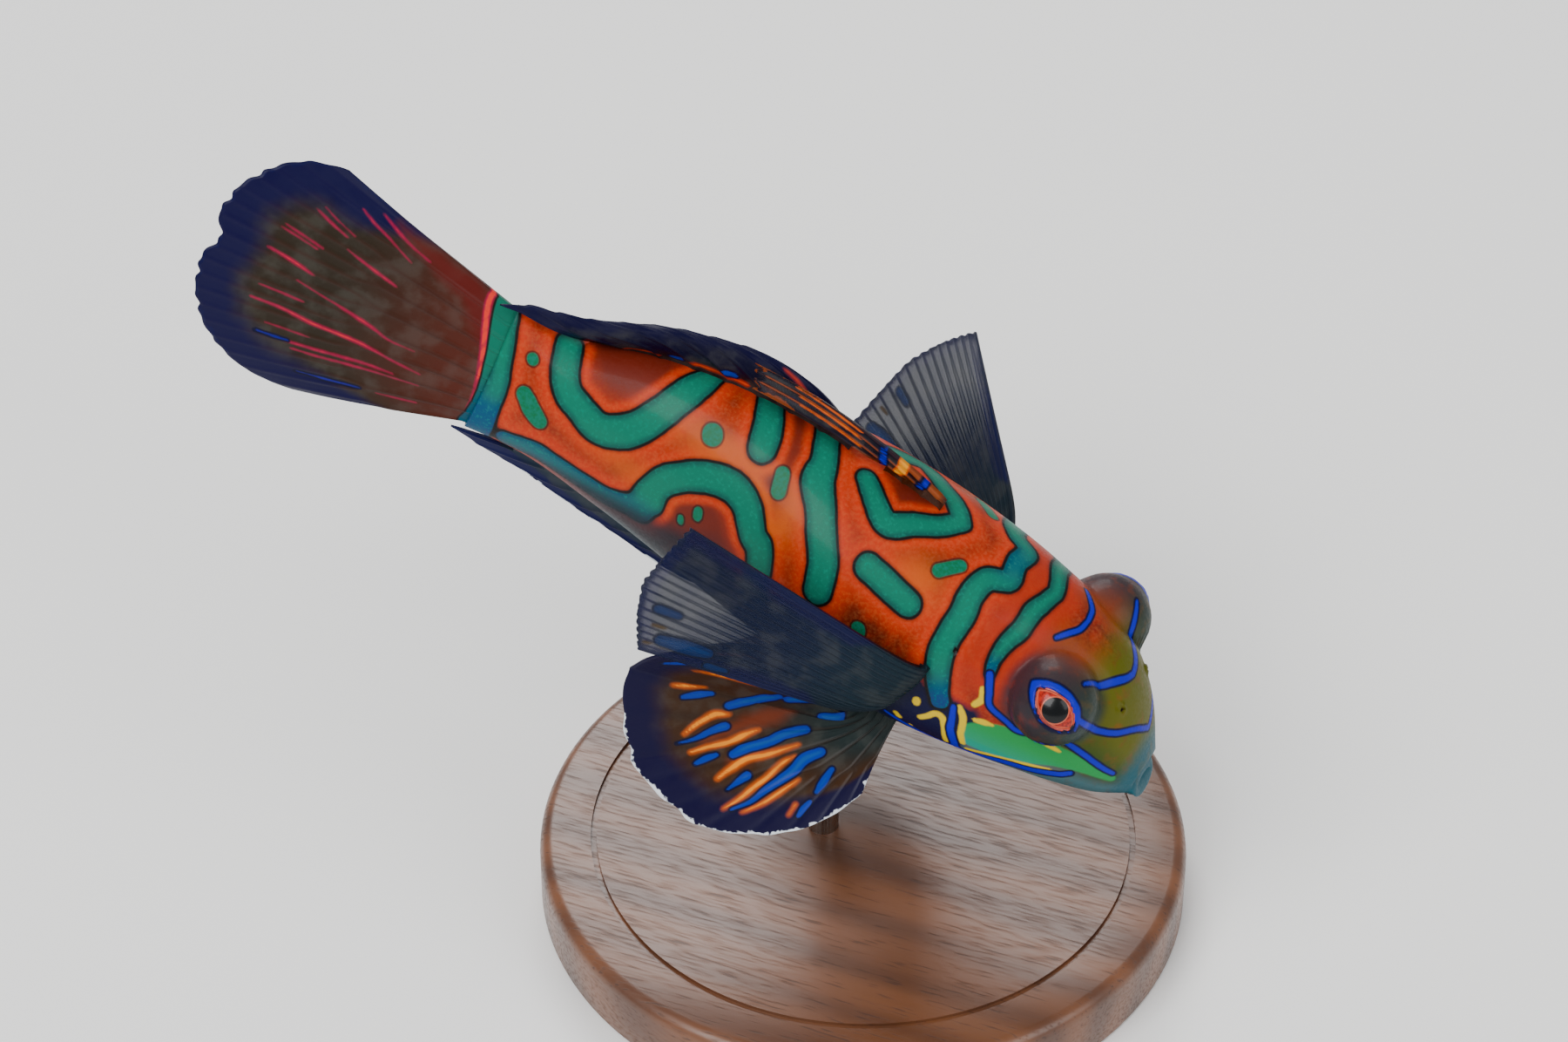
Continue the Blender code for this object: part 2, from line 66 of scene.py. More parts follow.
Array = np.ndarray
Piece = bpy.types.Object
Material = bpy.types.Material
Output = bpy.types.NodeSocket
Pair = tuple[float, float]
Triple = tuple[float, float, float]
Colour = tuple[float, float, float, float]
Rows = tuple[tuple[float, ...], ...]
Socket = Union[Output, float, Colour]
Surface = Callable[[Array, Array], Array]


class Side(Enum):
    """The fish's two sides."""

    LEFT = "left"
    RIGHT = "right"

    @property
    def hand(self) -> int:
        """1 on the left and -1 on the right."""
        return 1 if self is Side.LEFT else -1


class Pick(Enum):
    """What is selected in edit mode."""

    EDGES = "EDGE"
    FACES = "FACE"


def screen(red: int, green: int, blue: int) -> Colour:
    """A colour given as it shows on a screen, 0 to 255, as linear light."""
    shares = [level / 255 for level in (red, green, blue)]
    return (*[((v + 0.055) / 1.055) ** 2.4 if v > 0.04 else v / 12.92 for v in shares], 1.0)


def smoothstep(low: float, high: float, value: Array) -> Array:
    """A smooth rise from 0 at low to 1 at high."""
    share = np.clip((value - low) / (high - low), 0, 1)
    return share * share * (3 - 2 * share)


def smooth_curve(rows: Rows, column: int) -> Callable[[Array], Array]:
    """A function of the station through one column of a table.

    Args:
        rows: stations in mm, each with its values in mm or degrees.
        column: the column to read.

    Returns:
        A function from stations in metres to the column's smoothed values.
    """
    at = np.array([row[0] for row in rows], float)
    value = np.array([row[column] for row in rows], float)
    slope = np.gradient(value, at)

    def read(station: Array) -> Array:
        """The column's value at each station.

        Args:
            station: distances from the mouth in metres.

        Returns:
            One value for each of them.
        """
        x = np.clip(np.asarray(station, float) / MM, at[0], at[-1])
        i = np.clip(np.searchsorted(at, x, side="right") - 1, 0, len(at) - 2)
        span = at[i + 1] - at[i]
        t = (x - at[i]) / span
        rise = (2 * t**3 - 3 * t**2 + 1) * value[i] + (3 * t**2 - 2 * t**3) * value[i + 1]
        return rise + span * ((t**3 - 2 * t**2 + t) * slope[i] + (t**3 - t**2) * slope[i + 1])

    return read


def only(piece: Piece) -> None:
    """Makes one object the only selected one and the active one.

    Args:
        piece: the object.
    """
    bpy.ops.object.select_all(action="DESELECT")
    piece.select_set(True)
    bpy.context.view_layer.objects.active = piece


def named(name: str, smooth: bool = True) -> Piece:
    """Names the primitive that was just added and gives it smooth or flat shading.

    Args:
        name: the piece's name.
        smooth: whether its faces are shaded smooth.

    Returns:
        The piece, selected and active.
    """
    piece = bpy.context.active_object
    piece.name = piece.data.name = name
    piece.data.polygons.foreach_set("use_smooth", [smooth] * len(piece.data.polygons))
    return piece


def choose(piece: Piece, kind: Pick, test: Callable[[Vector, Vector], bool]) -> None:
    """Selects edges or faces in edit mode by their place.

    Args:
        piece: the object being edited.
        kind: whether edges or faces are selected.
        test: gets a face's middle and normal, or an edge's two ends, and says whether it is selected.
    """
    bpy.ops.mesh.select_mode(type=kind.value)
    bpy.ops.mesh.select_all(action="DESELECT")
    shape = bmesh.from_edit_mesh(piece.data)
    if kind is Pick.FACES:
        for face in shape.faces:
            face.select_set(test(face.calc_center_median(), face.normal))
    else:
        for edge in shape.edges:
            edge.select_set(test(edge.verts[0].co, edge.verts[1].co))
    bmesh.update_edit_mesh(piece.data)


def store(piece: Piece, name: str, values: Array) -> None:
    """Keeps one number for each of a mesh's points, for its material to read."""
    layer = piece.data.attributes.new(name, "FLOAT", "POINT")
    layer.data.foreach_set("value", np.ascontiguousarray(values, np.float32).ravel())


def grid_piece(name: str, points: Array) -> Piece:
    """A flat grid, added as a primitive, with each of its points moved to its place.

    Args:
        name: the piece's name.
        points: the places, in rows and columns.

    Returns:
        The piece, selected and active.
    """
    rows, columns = points.shape[:2]
    bpy.ops.object.select_all(action="DESELECT")
    bpy.ops.mesh.primitive_grid_add(x_subdivisions=columns - 1, y_subdivisions=rows - 1, size=1 * MM)
    piece = named(name)
    piece.data.vertices.foreach_set("co", np.ascontiguousarray(points, np.float32).ravel())
    piece.data.update()
    return piece


def close_up(piece: Piece) -> None:
    """Joins a piece's seams and poles, and turns its faces outwards.

    Args:
        piece: the object.
    """
    only(piece)
    bpy.ops.object.mode_set(mode="EDIT")
    bpy.ops.mesh.select_all(action="SELECT")
    bpy.ops.mesh.remove_doubles(threshold=MERGE)
    bpy.ops.mesh.normals_make_consistent(inside=False)
    bpy.ops.object.mode_set(mode="OBJECT")


def along_curve(points: Rows, steps: int = 10) -> Array:
    """A smooth line through control points.

    Args:
        points: the control points, each with any number of values.
        steps: how many of the line's points stand for each stretch between two of them.

    Returns:
        The line's points, one row each.
    """
    given = np.array(points, float)
    padded = np.vstack([2 * given[0] - given[1], given, 2 * given[-1] - given[-2]])
    line = []
    for i in range(1, len(padded) - 2):
        before, start, end, after = padded[i - 1], padded[i], padded[i + 1], padded[i + 2]
        for t in np.arange(steps) / steps:
            bend = (2 * before - 5 * start + 4 * end - after) * t**2
            turn = (3 * start - 3 * end + after - before) * t**3
            line.append(0.5 * (2 * start + (end - before) * t + bend + turn))
    return np.array([*line, given[-1]])


def distance_to(places: Array, line: Array, widths: Array) -> Array:
    """How far places lie outside a line of varying width, all in mm. It is negative on the line.

    Args:
        places: the places to measure from, one row each.
        line: the line's points, one row each.
        widths: the line's half width at each point.

    Returns:
        One distance for each place, at most FAR.
    """
    away = np.full(len(places), FAR)
    low, high = line.min(0) - FAR, line.max(0) + FAR
    near = np.nonzero(((places > low) & (places < high)).all(1))[0]
    step = line[1:] - line[:-1]
    square = np.maximum((step**2).sum(1), 1e-12)
    for some in np.array_split(near, max(1, len(near) // BATCH)):
        here = places[some][:, None, :]
        share = np.clip(((here - line[:-1]) * step).sum(2) / square, 0, 1)
        gap = np.linalg.norm(here - (line[:-1] + share[..., None] * step), axis=2)
        gap -= widths[:-1] + share * (widths[1:] - widths[:-1])
        away[some] = np.minimum(away[some], gap.min(1))
    return away


def joined(first: Array, second: Array, blend: float) -> Array:
    """The smaller of two distances, rounded off where they meet."""
    overlap = np.maximum(blend - np.abs(first - second), 0) / blend
    return np.minimum(first, second) - overlap**2 * blend / 4


@dataclass
class FishForm:
    """The fish's axis and sections, and where anything on it stands in the room.

    A row of axis_turns is a station in mm, the axis's turn there and the body's lean, both in degrees. A row
    of body_plan is a station, then the heights of the back and of the belly, the half width, and the height
    at which the body is widest, all in mm.
    """

    standard_length: float = 43.5 * MM
    pitch_down: float = math.radians(24)
    held_station: float = 19.5 * MM
    axis_height: float = 24 * MM
    axis_ends: Pair = (-3 * MM, 66 * MM)
    axis_step: float = 0.25 * MM
    axis_turns: Rows = (
        (-3, -3, 0), (8, -3, 0), (18, -1, 3), (26, 2, 8), (34, 9, 13), (44, 17, 18), (62, 17, 20),
    )
    body_plan: Rows = (
        (0.5, 0.2, -2.2, 1.5, -1.1),
        (2.0, 2.6, -2.7, 2.8, -0.9),
        (4.0, 4.8, -3.1, 3.9, -0.7),
        (7.0, 6.1, -3.7, 4.9, -0.7),
        (11.0, 6.7, -4.6, 5.8, -0.8),
        (16.0, 6.9, -5.5, 6.4, -0.7),
        (22.0, 6.9, -5.9, 6.1, -0.3),
        (28.5, 6.6, -5.6, 4.6, 0.1),
        (35.0, 5.6, -4.5, 3.1, 0.3),
        (40.0, 4.5, -3.4, 2.3, 0.4),
        (43.5, 4.9, -3.3, 1.0, 0.5),
    )
    section_power: float = 2.25
    eye_station: float = 7.0 * MM
    eye_side: float = 3.9 * MM
    eye_height: float = 3.6 * MM
    orbit_radius: float = 2.5 * MM
    orbit_blend: float = 0.9 * MM
    gaze_forward: float = math.radians(8)
    gaze_up_left: float = math.radians(20)
    gaze_up_right: float = math.radians(35)

    def __post_init__(self) -> None:
        """Works out the curves of the axis and of the sections."""
        self.heading, self.lean = (smooth_curve(self.axis_turns, k) for k in (1, 2))
        self.back, self.belly, self.half_width, self.widest = (
            smooth_curve(self.body_plan, k) for k in (1, 2, 3, 4)
        )
        self.pitch = np.array(Matrix.Rotation(self.pitch_down, 3, "Y"))
        self.stations = np.arange(*self.axis_ends, self.axis_step)
        heading = np.radians(self.heading(self.stations + self.axis_step / 2))
        steps = np.stack([np.cos(heading), np.sin(heading)], axis=1) * self.axis_step
        places = -np.concatenate([np.zeros((1, 2)), np.cumsum(steps, axis=0)])[:-1]
        held = [np.interp(self.held_station, self.stations, places[:, k]) for k in (0, 1)]
        self.level = places - held

    def axes(self, station: Array) -> tuple[Array, Array, Array]:
        """The fish's own directions.

        Args:
            station: distances from the mouth.

        Returns:
            The directions forward, left and up in the room at each station.
        """
        heading, lean = np.radians(self.heading(station)), np.radians(self.lean(station))
        flat = np.zeros_like(heading)
        forward = np.stack([np.cos(heading), np.sin(heading), flat], axis=-1)
        left = np.stack([-np.sin(heading), np.cos(heading), flat], axis=-1)
        up = np.array((0.0, 0.0, 1.0))
        cos, sin = np.cos(lean)[..., None], np.sin(lean)[..., None]
        leaning = (forward, left * cos - up * sin, up * cos + left * sin)
        return tuple(way @ self.pitch.T for way in leaning)

    def place(self, station: Array, side: Array, height: Array) -> Array:
        """Where places on the straight fish stand in the room.

        Args:
            station: distances from the mouth.
            side: distances to the fish's left of its axis.
            height: distances above its axis.

        Returns:
            One place for each of them.
        """
        station, side, height = np.broadcast_arrays(*(np.asarray(v, float) for v in (station, side, height)))
        level = [np.interp(station, self.stations, self.level[:, k]) for k in (0, 1)]
        _, left, up = self.axes(station)
        middle = np.stack([*level, np.zeros_like(station)], axis=-1) @ self.pitch.T
        return middle + (0, 0, self.axis_height) + left * side[..., None] + up * height[..., None]

    def direction(self, station: Array, back: Array, side: Array,
                  up: Array) -> Array:
        """The directions in the room of steps away from the fish's axis.

        Args:
            station: where each step starts, as a distance from the mouth.
            back: how far it goes towards the tail.
            side: how far it goes to the fish's left.
            up: how far it goes up.

        Returns:
            One unit direction for each step.
        """
        ahead, left, above = self.axes(np.asarray(station, float))
        back, side, up = (np.asarray(v, float)[..., None] for v in (back, side, up))
        step = left * side + above * up - ahead * back
        return step / np.linalg.norm(step, axis=-1, keepdims=True)

    def section(self, station: Array, degrees: Array,
                proud: Union[float, Array] = 0.0) -> tuple[Array, Array]:
        """The side and height of the skin, orbits and all.

        Args:
            station: distances from the mouth in metres.
            degrees: angles round the body from the middle of the back.
            proud: how far outside the skin to measure.

        Returns:
            The sides and the heights.
        """
        station, degrees = np.broadcast_arrays(np.asarray(station, float), np.asarray(degrees, float))
        angle, power = np.radians(degrees), 2 / self.section_power
        widest = self.widest(station) * MM
        limit = np.where(np.cos(angle) > 0, self.back(station), self.belly(station)) * MM
        side = np.sign(np.sin(angle)) * np.abs(np.sin(angle)) ** power * self.half_width(station) * MM
        height = widest + np.abs(np.cos(angle)) ** power * (limit - widest)
        reach = np.hypot(side, height)
        along = side / reach * np.copysign(self.eye_side, side) + height / reach * self.eye_height
        under = along**2 - self.eye_side**2 - self.eye_height**2
        under += self.orbit_radius**2 - (station - self.eye_station) ** 2
        dome = along + np.copysign(np.sqrt(np.abs(under)), under)
        domed = -joined(-reach, -dome, self.orbit_blend)
        near = (np.abs(station - self.eye_station) < self.orbit_radius + self.orbit_blend) & (height > 0)
        scale = (np.where(near, domed, reach) + proud) / reach
        return side * scale, height * scale

    def skin(self, station: Array, degrees: Array,
             proud: Union[float, Array] = 0.0) -> Array:
        """The place in the room of the skin at each station and angle."""
        return self.place(station, *self.section(station, degrees, proud))

    def outward(self, station: Array, degrees: Array) -> Array:
        """The direction straight out of the section at each station and angle."""
        step = self.skin(station, degrees, MM) - self.skin(station, degrees)
        return step / np.linalg.norm(step, axis=-1, keepdims=True)

    def orbit(self, side: Side) -> Array:
        """The middle of an eye's orbit on the straight fish."""
        return np.array((self.eye_station, side.hand * self.eye_side, self.eye_height))

    def gaze_axes(self, side: Side, tilt: float) -> Array:
        """The eye's own axes on the straight fish: along its opening, across it and outwards.

        Args:
            side: which eye.
            tilt: the turn of the opening's length up from the way forward.

        Returns:
            Three unit rows, each a station, a side and a height.
        """
        rise = self.gaze_up_left if side is Side.LEFT else self.gaze_up_right
        out = np.array((
            -math.sin(self.gaze_forward) * math.cos(rise),
            side.hand * math.cos(self.gaze_forward) * math.cos(rise),
            math.sin(rise),
        ))
        ahead = np.array((-1.0, 0.0, 0.0)) - out * -out[0]
        ahead /= np.linalg.norm(ahead)
        up = np.cross(out, ahead) * side.hand
        up *= math.copysign(1, up[2])
        along = ahead * math.cos(tilt) + up * math.sin(tilt)
        across = up * math.cos(tilt) - ahead * math.sin(tilt)
        return np.array((along, across, out))


@dataclass(frozen=True)
class EyeOpening:
    """The almond-shaped opening between the lids, on the orbit's dome, with all its lengths in mm.

    fold is where the fold round it lies, its width and its height. ring is where the blue ring's middle lies
    and half its width, and ring_above what is added to both above the eye.
    """

    half_length: float = 1.5
    half_width: float = 0.86
    tilt: float = math.radians(-15)
    ball_radius: float = 1.8
    ball_middle: float = 0.83
    dome_from: float = 0.6
    dome_reach: float = 2.6
    lid_thickness: float = 0.1
    lid_blend: float = 0.2
    lid_fade: Pair = (1.5, 1.75)
    fold: Triple = (0.14, 0.12, 0.07)
    sink_from: Pair = (0.02, 0.16)
    sink: float = 0.3
    ring: Pair = (0.14, 0.03)
    ring_above: Pair = (0.07, 0.13)
    ring_reach: float = 0.9

    @property
    def arc(self) -> float:
        """The radius of the opening's upper and lower edge."""
        return (self.half_length**2 + self.half_width**2) / (2 * self.half_width)

    def away(self, along: Array, across: Array) -> Array:
        """The distance outside the opening's edge, negative within it."""
        return np.hypot(along, np.abs(across) + self.arc - self.half_width) - self.arc

    def ball_height(self, reach: Array) -> Array:
        """The height of the eyeball over the orbit's middle, at a distance from the line of sight."""
        return self.ball_middle + np.sqrt(np.maximum(self.ball_radius**2 - reach**2, 0))

    def edge(self, count: int) -> Array:
        """Points round the opening's edge.

        Args:
            count: how many there are.

        Returns:
            Where each lies along and across the opening.
        """
        sweep = math.asin(self.half_length / self.arc)
        turn = np.linspace(-sweep, sweep, count // 2, endpoint=False)
        lift = self.arc * np.cos(turn) - self.arc + self.half_width
        upper = np.stack([self.arc * np.sin(turn), lift], axis=1)
        return np.vstack([upper, -upper])


# Finishes


class Board:
    """A material's nodes, with short calls for the ones that the finishes use."""

    def __init__(self, name: str) -> None:
        """Starts a material with one principled shader.

        Args:
            name: the material's name.
        """
        self.material = bpy.data.materials.new(name)
        self.material.use_nodes = True
        self.tree = self.material.node_tree
        self.shader = self.tree.nodes["Principled BSDF"]
        self.place = self.tree.nodes.new("ShaderNodeTexCoord").outputs["Object"]

    def feed(self, socket: Output, value: Socket) -> None:
        """Links a socket to another, or sets it to a value.

        Args:
            socket: the input that is fed.
            value: the output or the value that feeds it.
        """
        if isinstance(value, Output):
            self.tree.links.new(value, socket)
        else:
            socket.default_value = value

    def node(self, kind: str, inputs: Sequence[tuple[Union[str, int], Socket]],
             **options: object) -> bpy.types.Node:
        """A new node.

        Args:
            kind: the node's type.
            inputs: the names or numbers of its inputs, each with what feeds it.
            options: its own settings.

        Returns:
            The node.
        """
        made = self.tree.nodes.new(kind)
        for key, value in options.items():
            setattr(made, key, value)
        for key, value in inputs:
            self.feed(made.inputs[key], value)
        return made

    def read(self, name: str) -> Output:
        """A number that the mesh keeps for each of its points."""
        return self.node("ShaderNodeAttribute", (), attribute_name=name).outputs["Fac"]

    def math(self, operation: str, first: Socket, second: Socket = 0.0) -> Output:
        """The result of a sum on two values."""
        return self.node("ShaderNodeMath", ((0, first), (1, second)), operation=operation).outputs[0]

    def rise(self, value: Socket, low: float, high: float, least: float = 0.0,
             most: float = 1.0) -> Output:
        """A smooth change from least, where the value is low, to most, where it is high."""
        inputs = (
            ("Value", value), ("From Min", low), ("From Max", high), ("To Min", least), ("To Max", most),
        )
        return self.node("ShaderNodeMapRange", inputs, interpolation_type="SMOOTHSTEP").outputs["Result"]

    def within(self, value: Socket, edge: float, soft: float) -> Output:
        """1 where a distance is under an edge and 0 past it."""
        return self.rise(value, edge - soft, edge + soft, 1.0, 0.0)

    def mix(self, share: Socket, first: Socket, second: Socket) -> Output:
        """A blend of two colours, which are a mix node's inputs 6 and 7."""
        return self.node("ShaderNodeMix", ((0, share), (6, first), (7, second)), data_type="RGBA").outputs[2]

    def grain(self, stretch: Triple, turn: Triple) -> Output:
        """The piece's own places, stretched along each axis and turned."""
        inputs = (("Vector", self.place), ("Scale", stretch), ("Rotation", turn))
        return self.node("ShaderNodeMapping", inputs).outputs[0]

    def noise(self, scale: float, detail: float = 3.0, stretch: Triple = (1, 1, 1),
              turn: Triple = (0, 0, 0)) -> Output:
        """Noise on the piece's own places.

        Args:
            scale: how many features it has to a metre.
            detail: how many finer layers it has.
            stretch: how much finer it is along each axis.
            turn: how far its axes are turned.

        Returns:
            A value round 0.5.
        """
        inputs = (("Vector", self.grain(stretch, turn)), ("Scale", scale), ("Detail", detail))
        return self.node("ShaderNodeTexNoise", inputs).outputs["Fac"]

    def wander(self, value: Socket, scale: float, reach: float) -> Output:
        """A value made to wander a little from place to place."""
        drift = self.math("MULTIPLY", self.math("SUBTRACT", self.noise(scale, 2.0), 0.5), reach * 2)
        return self.math("ADD", value, drift)

    def relief(self, height: Socket, strength: float, depth: float) -> None:
        """Gives the surface a fine relief from a height between 0 and 1."""
        inputs = (("Height", height), ("Strength", strength), ("Distance", depth))
        self.feed(self.shader.inputs["Normal"], self.node("ShaderNodeBump", inputs).outputs["Normal"])

    def finish(self, colour: Socket, roughness: Socket, **constants: float) -> Material:
        """Sets what the shader shows.

        Args:
            colour: its base colour.
            roughness: its roughness.
            constants: its other inputs, with an underscore for each space in their names.

        Returns:
            The material.
        """
        self.feed(self.shader.inputs["Base Color"], colour)
        self.feed(self.shader.inputs["Roughness"], roughness)
        for key, value in constants.items():
            self.shader.inputs[key.replace("_", " ")].default_value = value
        return self.material


@dataclass(frozen=True)
class SkinFinish:
    """Wet, scaleless skin: orange, with teal bands in dark outlines and a green and blue face.

    The widths are those of the dark edges round the markings, and soft is how blurred a crisp edge is, all in
    mm.
    """

    bright: Colour = screen(176, 40, 0)
    deep: Colour = screen(92, 22, 6)
    fleck: Colour = screen(255, 170, 100)
    golden: Colour = screen(182, 76, 0)
    coral: Colour = screen(146, 34, 12)
    teal: Colour = screen(0, 102, 80)
    teal_dark: Colour = screen(0, 76, 66)
    teal_fleck: Colour = screen(10, 146, 118)
    band_blue: Colour = screen(0, 50, 100)
    outline: Colour = screen(12, 8, 8)
    green: Colour = screen(0, 92, 56)
    line_blue: Colour = screen(0, 8, 164)
    line_edge: Colour = screen(2, 2, 40)
    yellow: Colour = screen(204, 172, 0)
    cheek: Colour = screen(20, 130, 62)
    jaw: Colour = screen(30, 134, 118)
    olive: Colour = screen(76, 80, 0)
    moss: Colour = screen(14, 54, 14)
    crown: Colour = screen(126, 52, 6)
    dome: Colour = screen(12, 36, 44)
    saddle: Colour = screen(94, 26, 14)
    # Painted shade of the pectoral fin: a dark blue laid round the throat and the fin's foot.
    navy_fin_shade: Colour = screen(2, 4, 44)
    lips: Colour = screen(16, 74, 86)
    belly: Colour = screen(52, 92, 100)
    # Painted shade: the dark blue-grey laid on the lower flank where the pectoral and anal fins shade it.
    under_fin_shade: Colour = screen(8, 24, 34)
    # Painted shade inside the nostrils and gill pores.
    hole: Colour = screen(18, 12, 12)
    shade_width: float = 0.26
    outline_width: float = 0.17
    line_edge_width: float = 0.13
    spot_edge_width: float = 0.12
    soft: float = 0.05

    def ground(self, b: Board, band: Socket, fine: Socket) -> Socket:
        """The colours under the markings: orange, darker away from the bands, and others in some zones, among
        them painted shade of the pectoral fin round the throat.

        Args:
            b: the material.
            band: the distance to the teal bands.
            fine: fine noise.

        Returns:
            The colour.
        """
        away = b.math("MULTIPLY", b.rise(band, 0.25, 1.7), b.rise(b.noise(900, 4.0), 0.3, 0.62, 0.55, 1.0))
        colour = b.mix(away, self.bright, self.deep)
        colour = b.mix(b.rise(fine, 0.35, 0.75, 0.0, 0.12), colour, b.mix(0.5, colour, self.fleck))
        # One of these zones, the dark blue round the throat, is painted shade of the pectoral fin.
        for zone in ("golden", "coral", "crown", "olive", "moss", "belly", "navy_fin_shade", "dome", "lips"):
            share = b.math("MULTIPLY", b.read(zone), b.rise(b.noise(1300, 3.0), 0.3, 0.5, 0.72, 1.0))
            colour = b.mix(b.math("MINIMUM", share, 1.0), colour, getattr(self, zone))
        return b.mix(b.math("MULTIPLY", b.read("saddle"), b.rise(band, 0.42, 0.95)), colour, self.saddle)

    def make(self) -> Material:
        """The skin's material, with each marking laid over those before it.

        Returns:
            The material.
        """
        b = Board("mandarin_skin")
        band = b.wander(b.wander(b.read("band"), 1300, 0.05), 480, 0.09)
        fine = b.noise(5200, 3.0)
        colour = self.ground(b, band, fine)

        cheek = b.wander(b.read("cheek"), 1800, 0.05)
        colour = b.mix(b.within(cheek, -0.04, 0.1), colour, b.mix(b.read("jaw"), self.cheek, self.jaw))
        gold = b.wander(b.read("gold"), 2200, 0.03)
        colour = b.mix(b.within(gold, 0.0, 0.07), colour, self.yellow)

        spots = b.wander(b.read("spots"), 1500, 0.04)
        around = b.math("MULTIPLY", b.within(spots, self.spot_edge_width, 0.06), 0.75)
        colour = b.mix(around, colour, self.outline)
        green = b.mix(b.rise(fine, 0.3, 0.7), self.green, self.teal)
        colour = b.mix(b.within(spots, 0.0, self.soft), colour, green)

        core = b.mix(b.rise(band, -0.45, -0.05), self.teal, self.teal_dark)
        core = b.mix(b.read("azure"), core, self.band_blue)
        core = b.mix(b.rise(fine, 0.5, 0.75, 0.0, 0.25), core, self.teal_fleck)
        colour = b.mix(b.within(band, self.shade_width, 0.16), colour, b.mix(0.55, colour, self.outline))
        colour = b.mix(b.within(band, self.outline_width, self.soft), colour, self.outline)
        colour = b.mix(b.within(band, 0.0, self.soft), colour, core)

        # Painted shade of the pectoral and anal fins on the lower flank.
        colour = b.mix(b.read("under_fin_shade"), colour, self.under_fin_shade)
        line = b.wander(b.read("line"), 2200, 0.025)
        colour = b.mix(b.within(line, self.line_edge_width, self.soft), colour, self.line_edge)
        colour = b.mix(b.within(line, 0.0, self.soft), colour, self.line_blue)
        # Painted shade: near-black laid into the nostrils and gill pores, darkest deep in each hole.
        colour = b.mix(b.rise(b.read("pit"), 0.2, 0.9), colour, self.hole)
        bumps = b.math("MULTIPLY", b.noise(2600, 3.0), 0.6)
        b.relief(b.math("ADD", b.noise(9000, 2.0), bumps), 0.28, 0.03 * MM)
        return b.finish(colour, b.rise(fine, 0.3, 0.7, 0.42, 0.58), Coat_Weight=0.07, Coat_Roughness=0.14,
                        Specular_IOR_Level=0.12)


@dataclass(frozen=True)
class RimFinish:
    """The moist edge of the eyelids."""

    pale: Colour = screen(176, 46, 22)
    red: Colour = screen(110, 10, 4)

    def make(self) -> Material:
        """The lid edge's material.

        Returns:
            The material.
        """
        b = Board("lid_edge")
        colour = b.mix(b.rise(b.noise(2400, 3.0), 0.35, 0.65), self.pale, self.red)
        b.relief(b.noise(9000, 2.0), 0.2, 0.02 * MM)
        return b.finish(colour, 0.3, Coat_Weight=0.2, Coat_Roughness=0.1)


@dataclass(frozen=True)
class EyeFinish:
    """A wet eye with a black pupil in a red-orange iris."""

    pupil_radius: float = 0.73
    iris: Colour = screen(110, 8, 0)
    iris_light: Colour = screen(176, 30, 4)
    iris_edge: Colour = screen(206, 96, 66)
    pupil: Colour = screen(8, 10, 12)

    def make(self) -> Material:
        """The eye's material, on the eye's own along and across.

        Returns:
            The material.
        """
        b = Board("mandarin_eye")
        along, across = b.read("along"), b.read("across")
        reach = b.math("SQRT", b.math("ADD", b.math("POWER", along, 2.0), b.math("POWER", across, 2.0)))
        streaks = b.noise(5200, 4.0)
        edge = b.wander(b.read("edge"), 1800, 0.03)
        iris = b.mix(b.rise(streaks, 0.35, 0.65), self.iris, self.iris_light)
        iris = b.mix(b.rise(edge, -0.2, -0.1), iris, self.iris_edge)
        colour = b.mix(b.within(reach, self.pupil_radius + 0.05, 0.03), iris, self.iris_edge)
        colour = b.mix(b.within(reach, self.pupil_radius, 0.03), colour, self.pupil)
        b.relief(streaks, 0.15, 0.02 * MM)
        return b.finish(colour, 0.25, Coat_Weight=0.16, Coat_Roughness=0.04, Specular_IOR_Level=0.2)


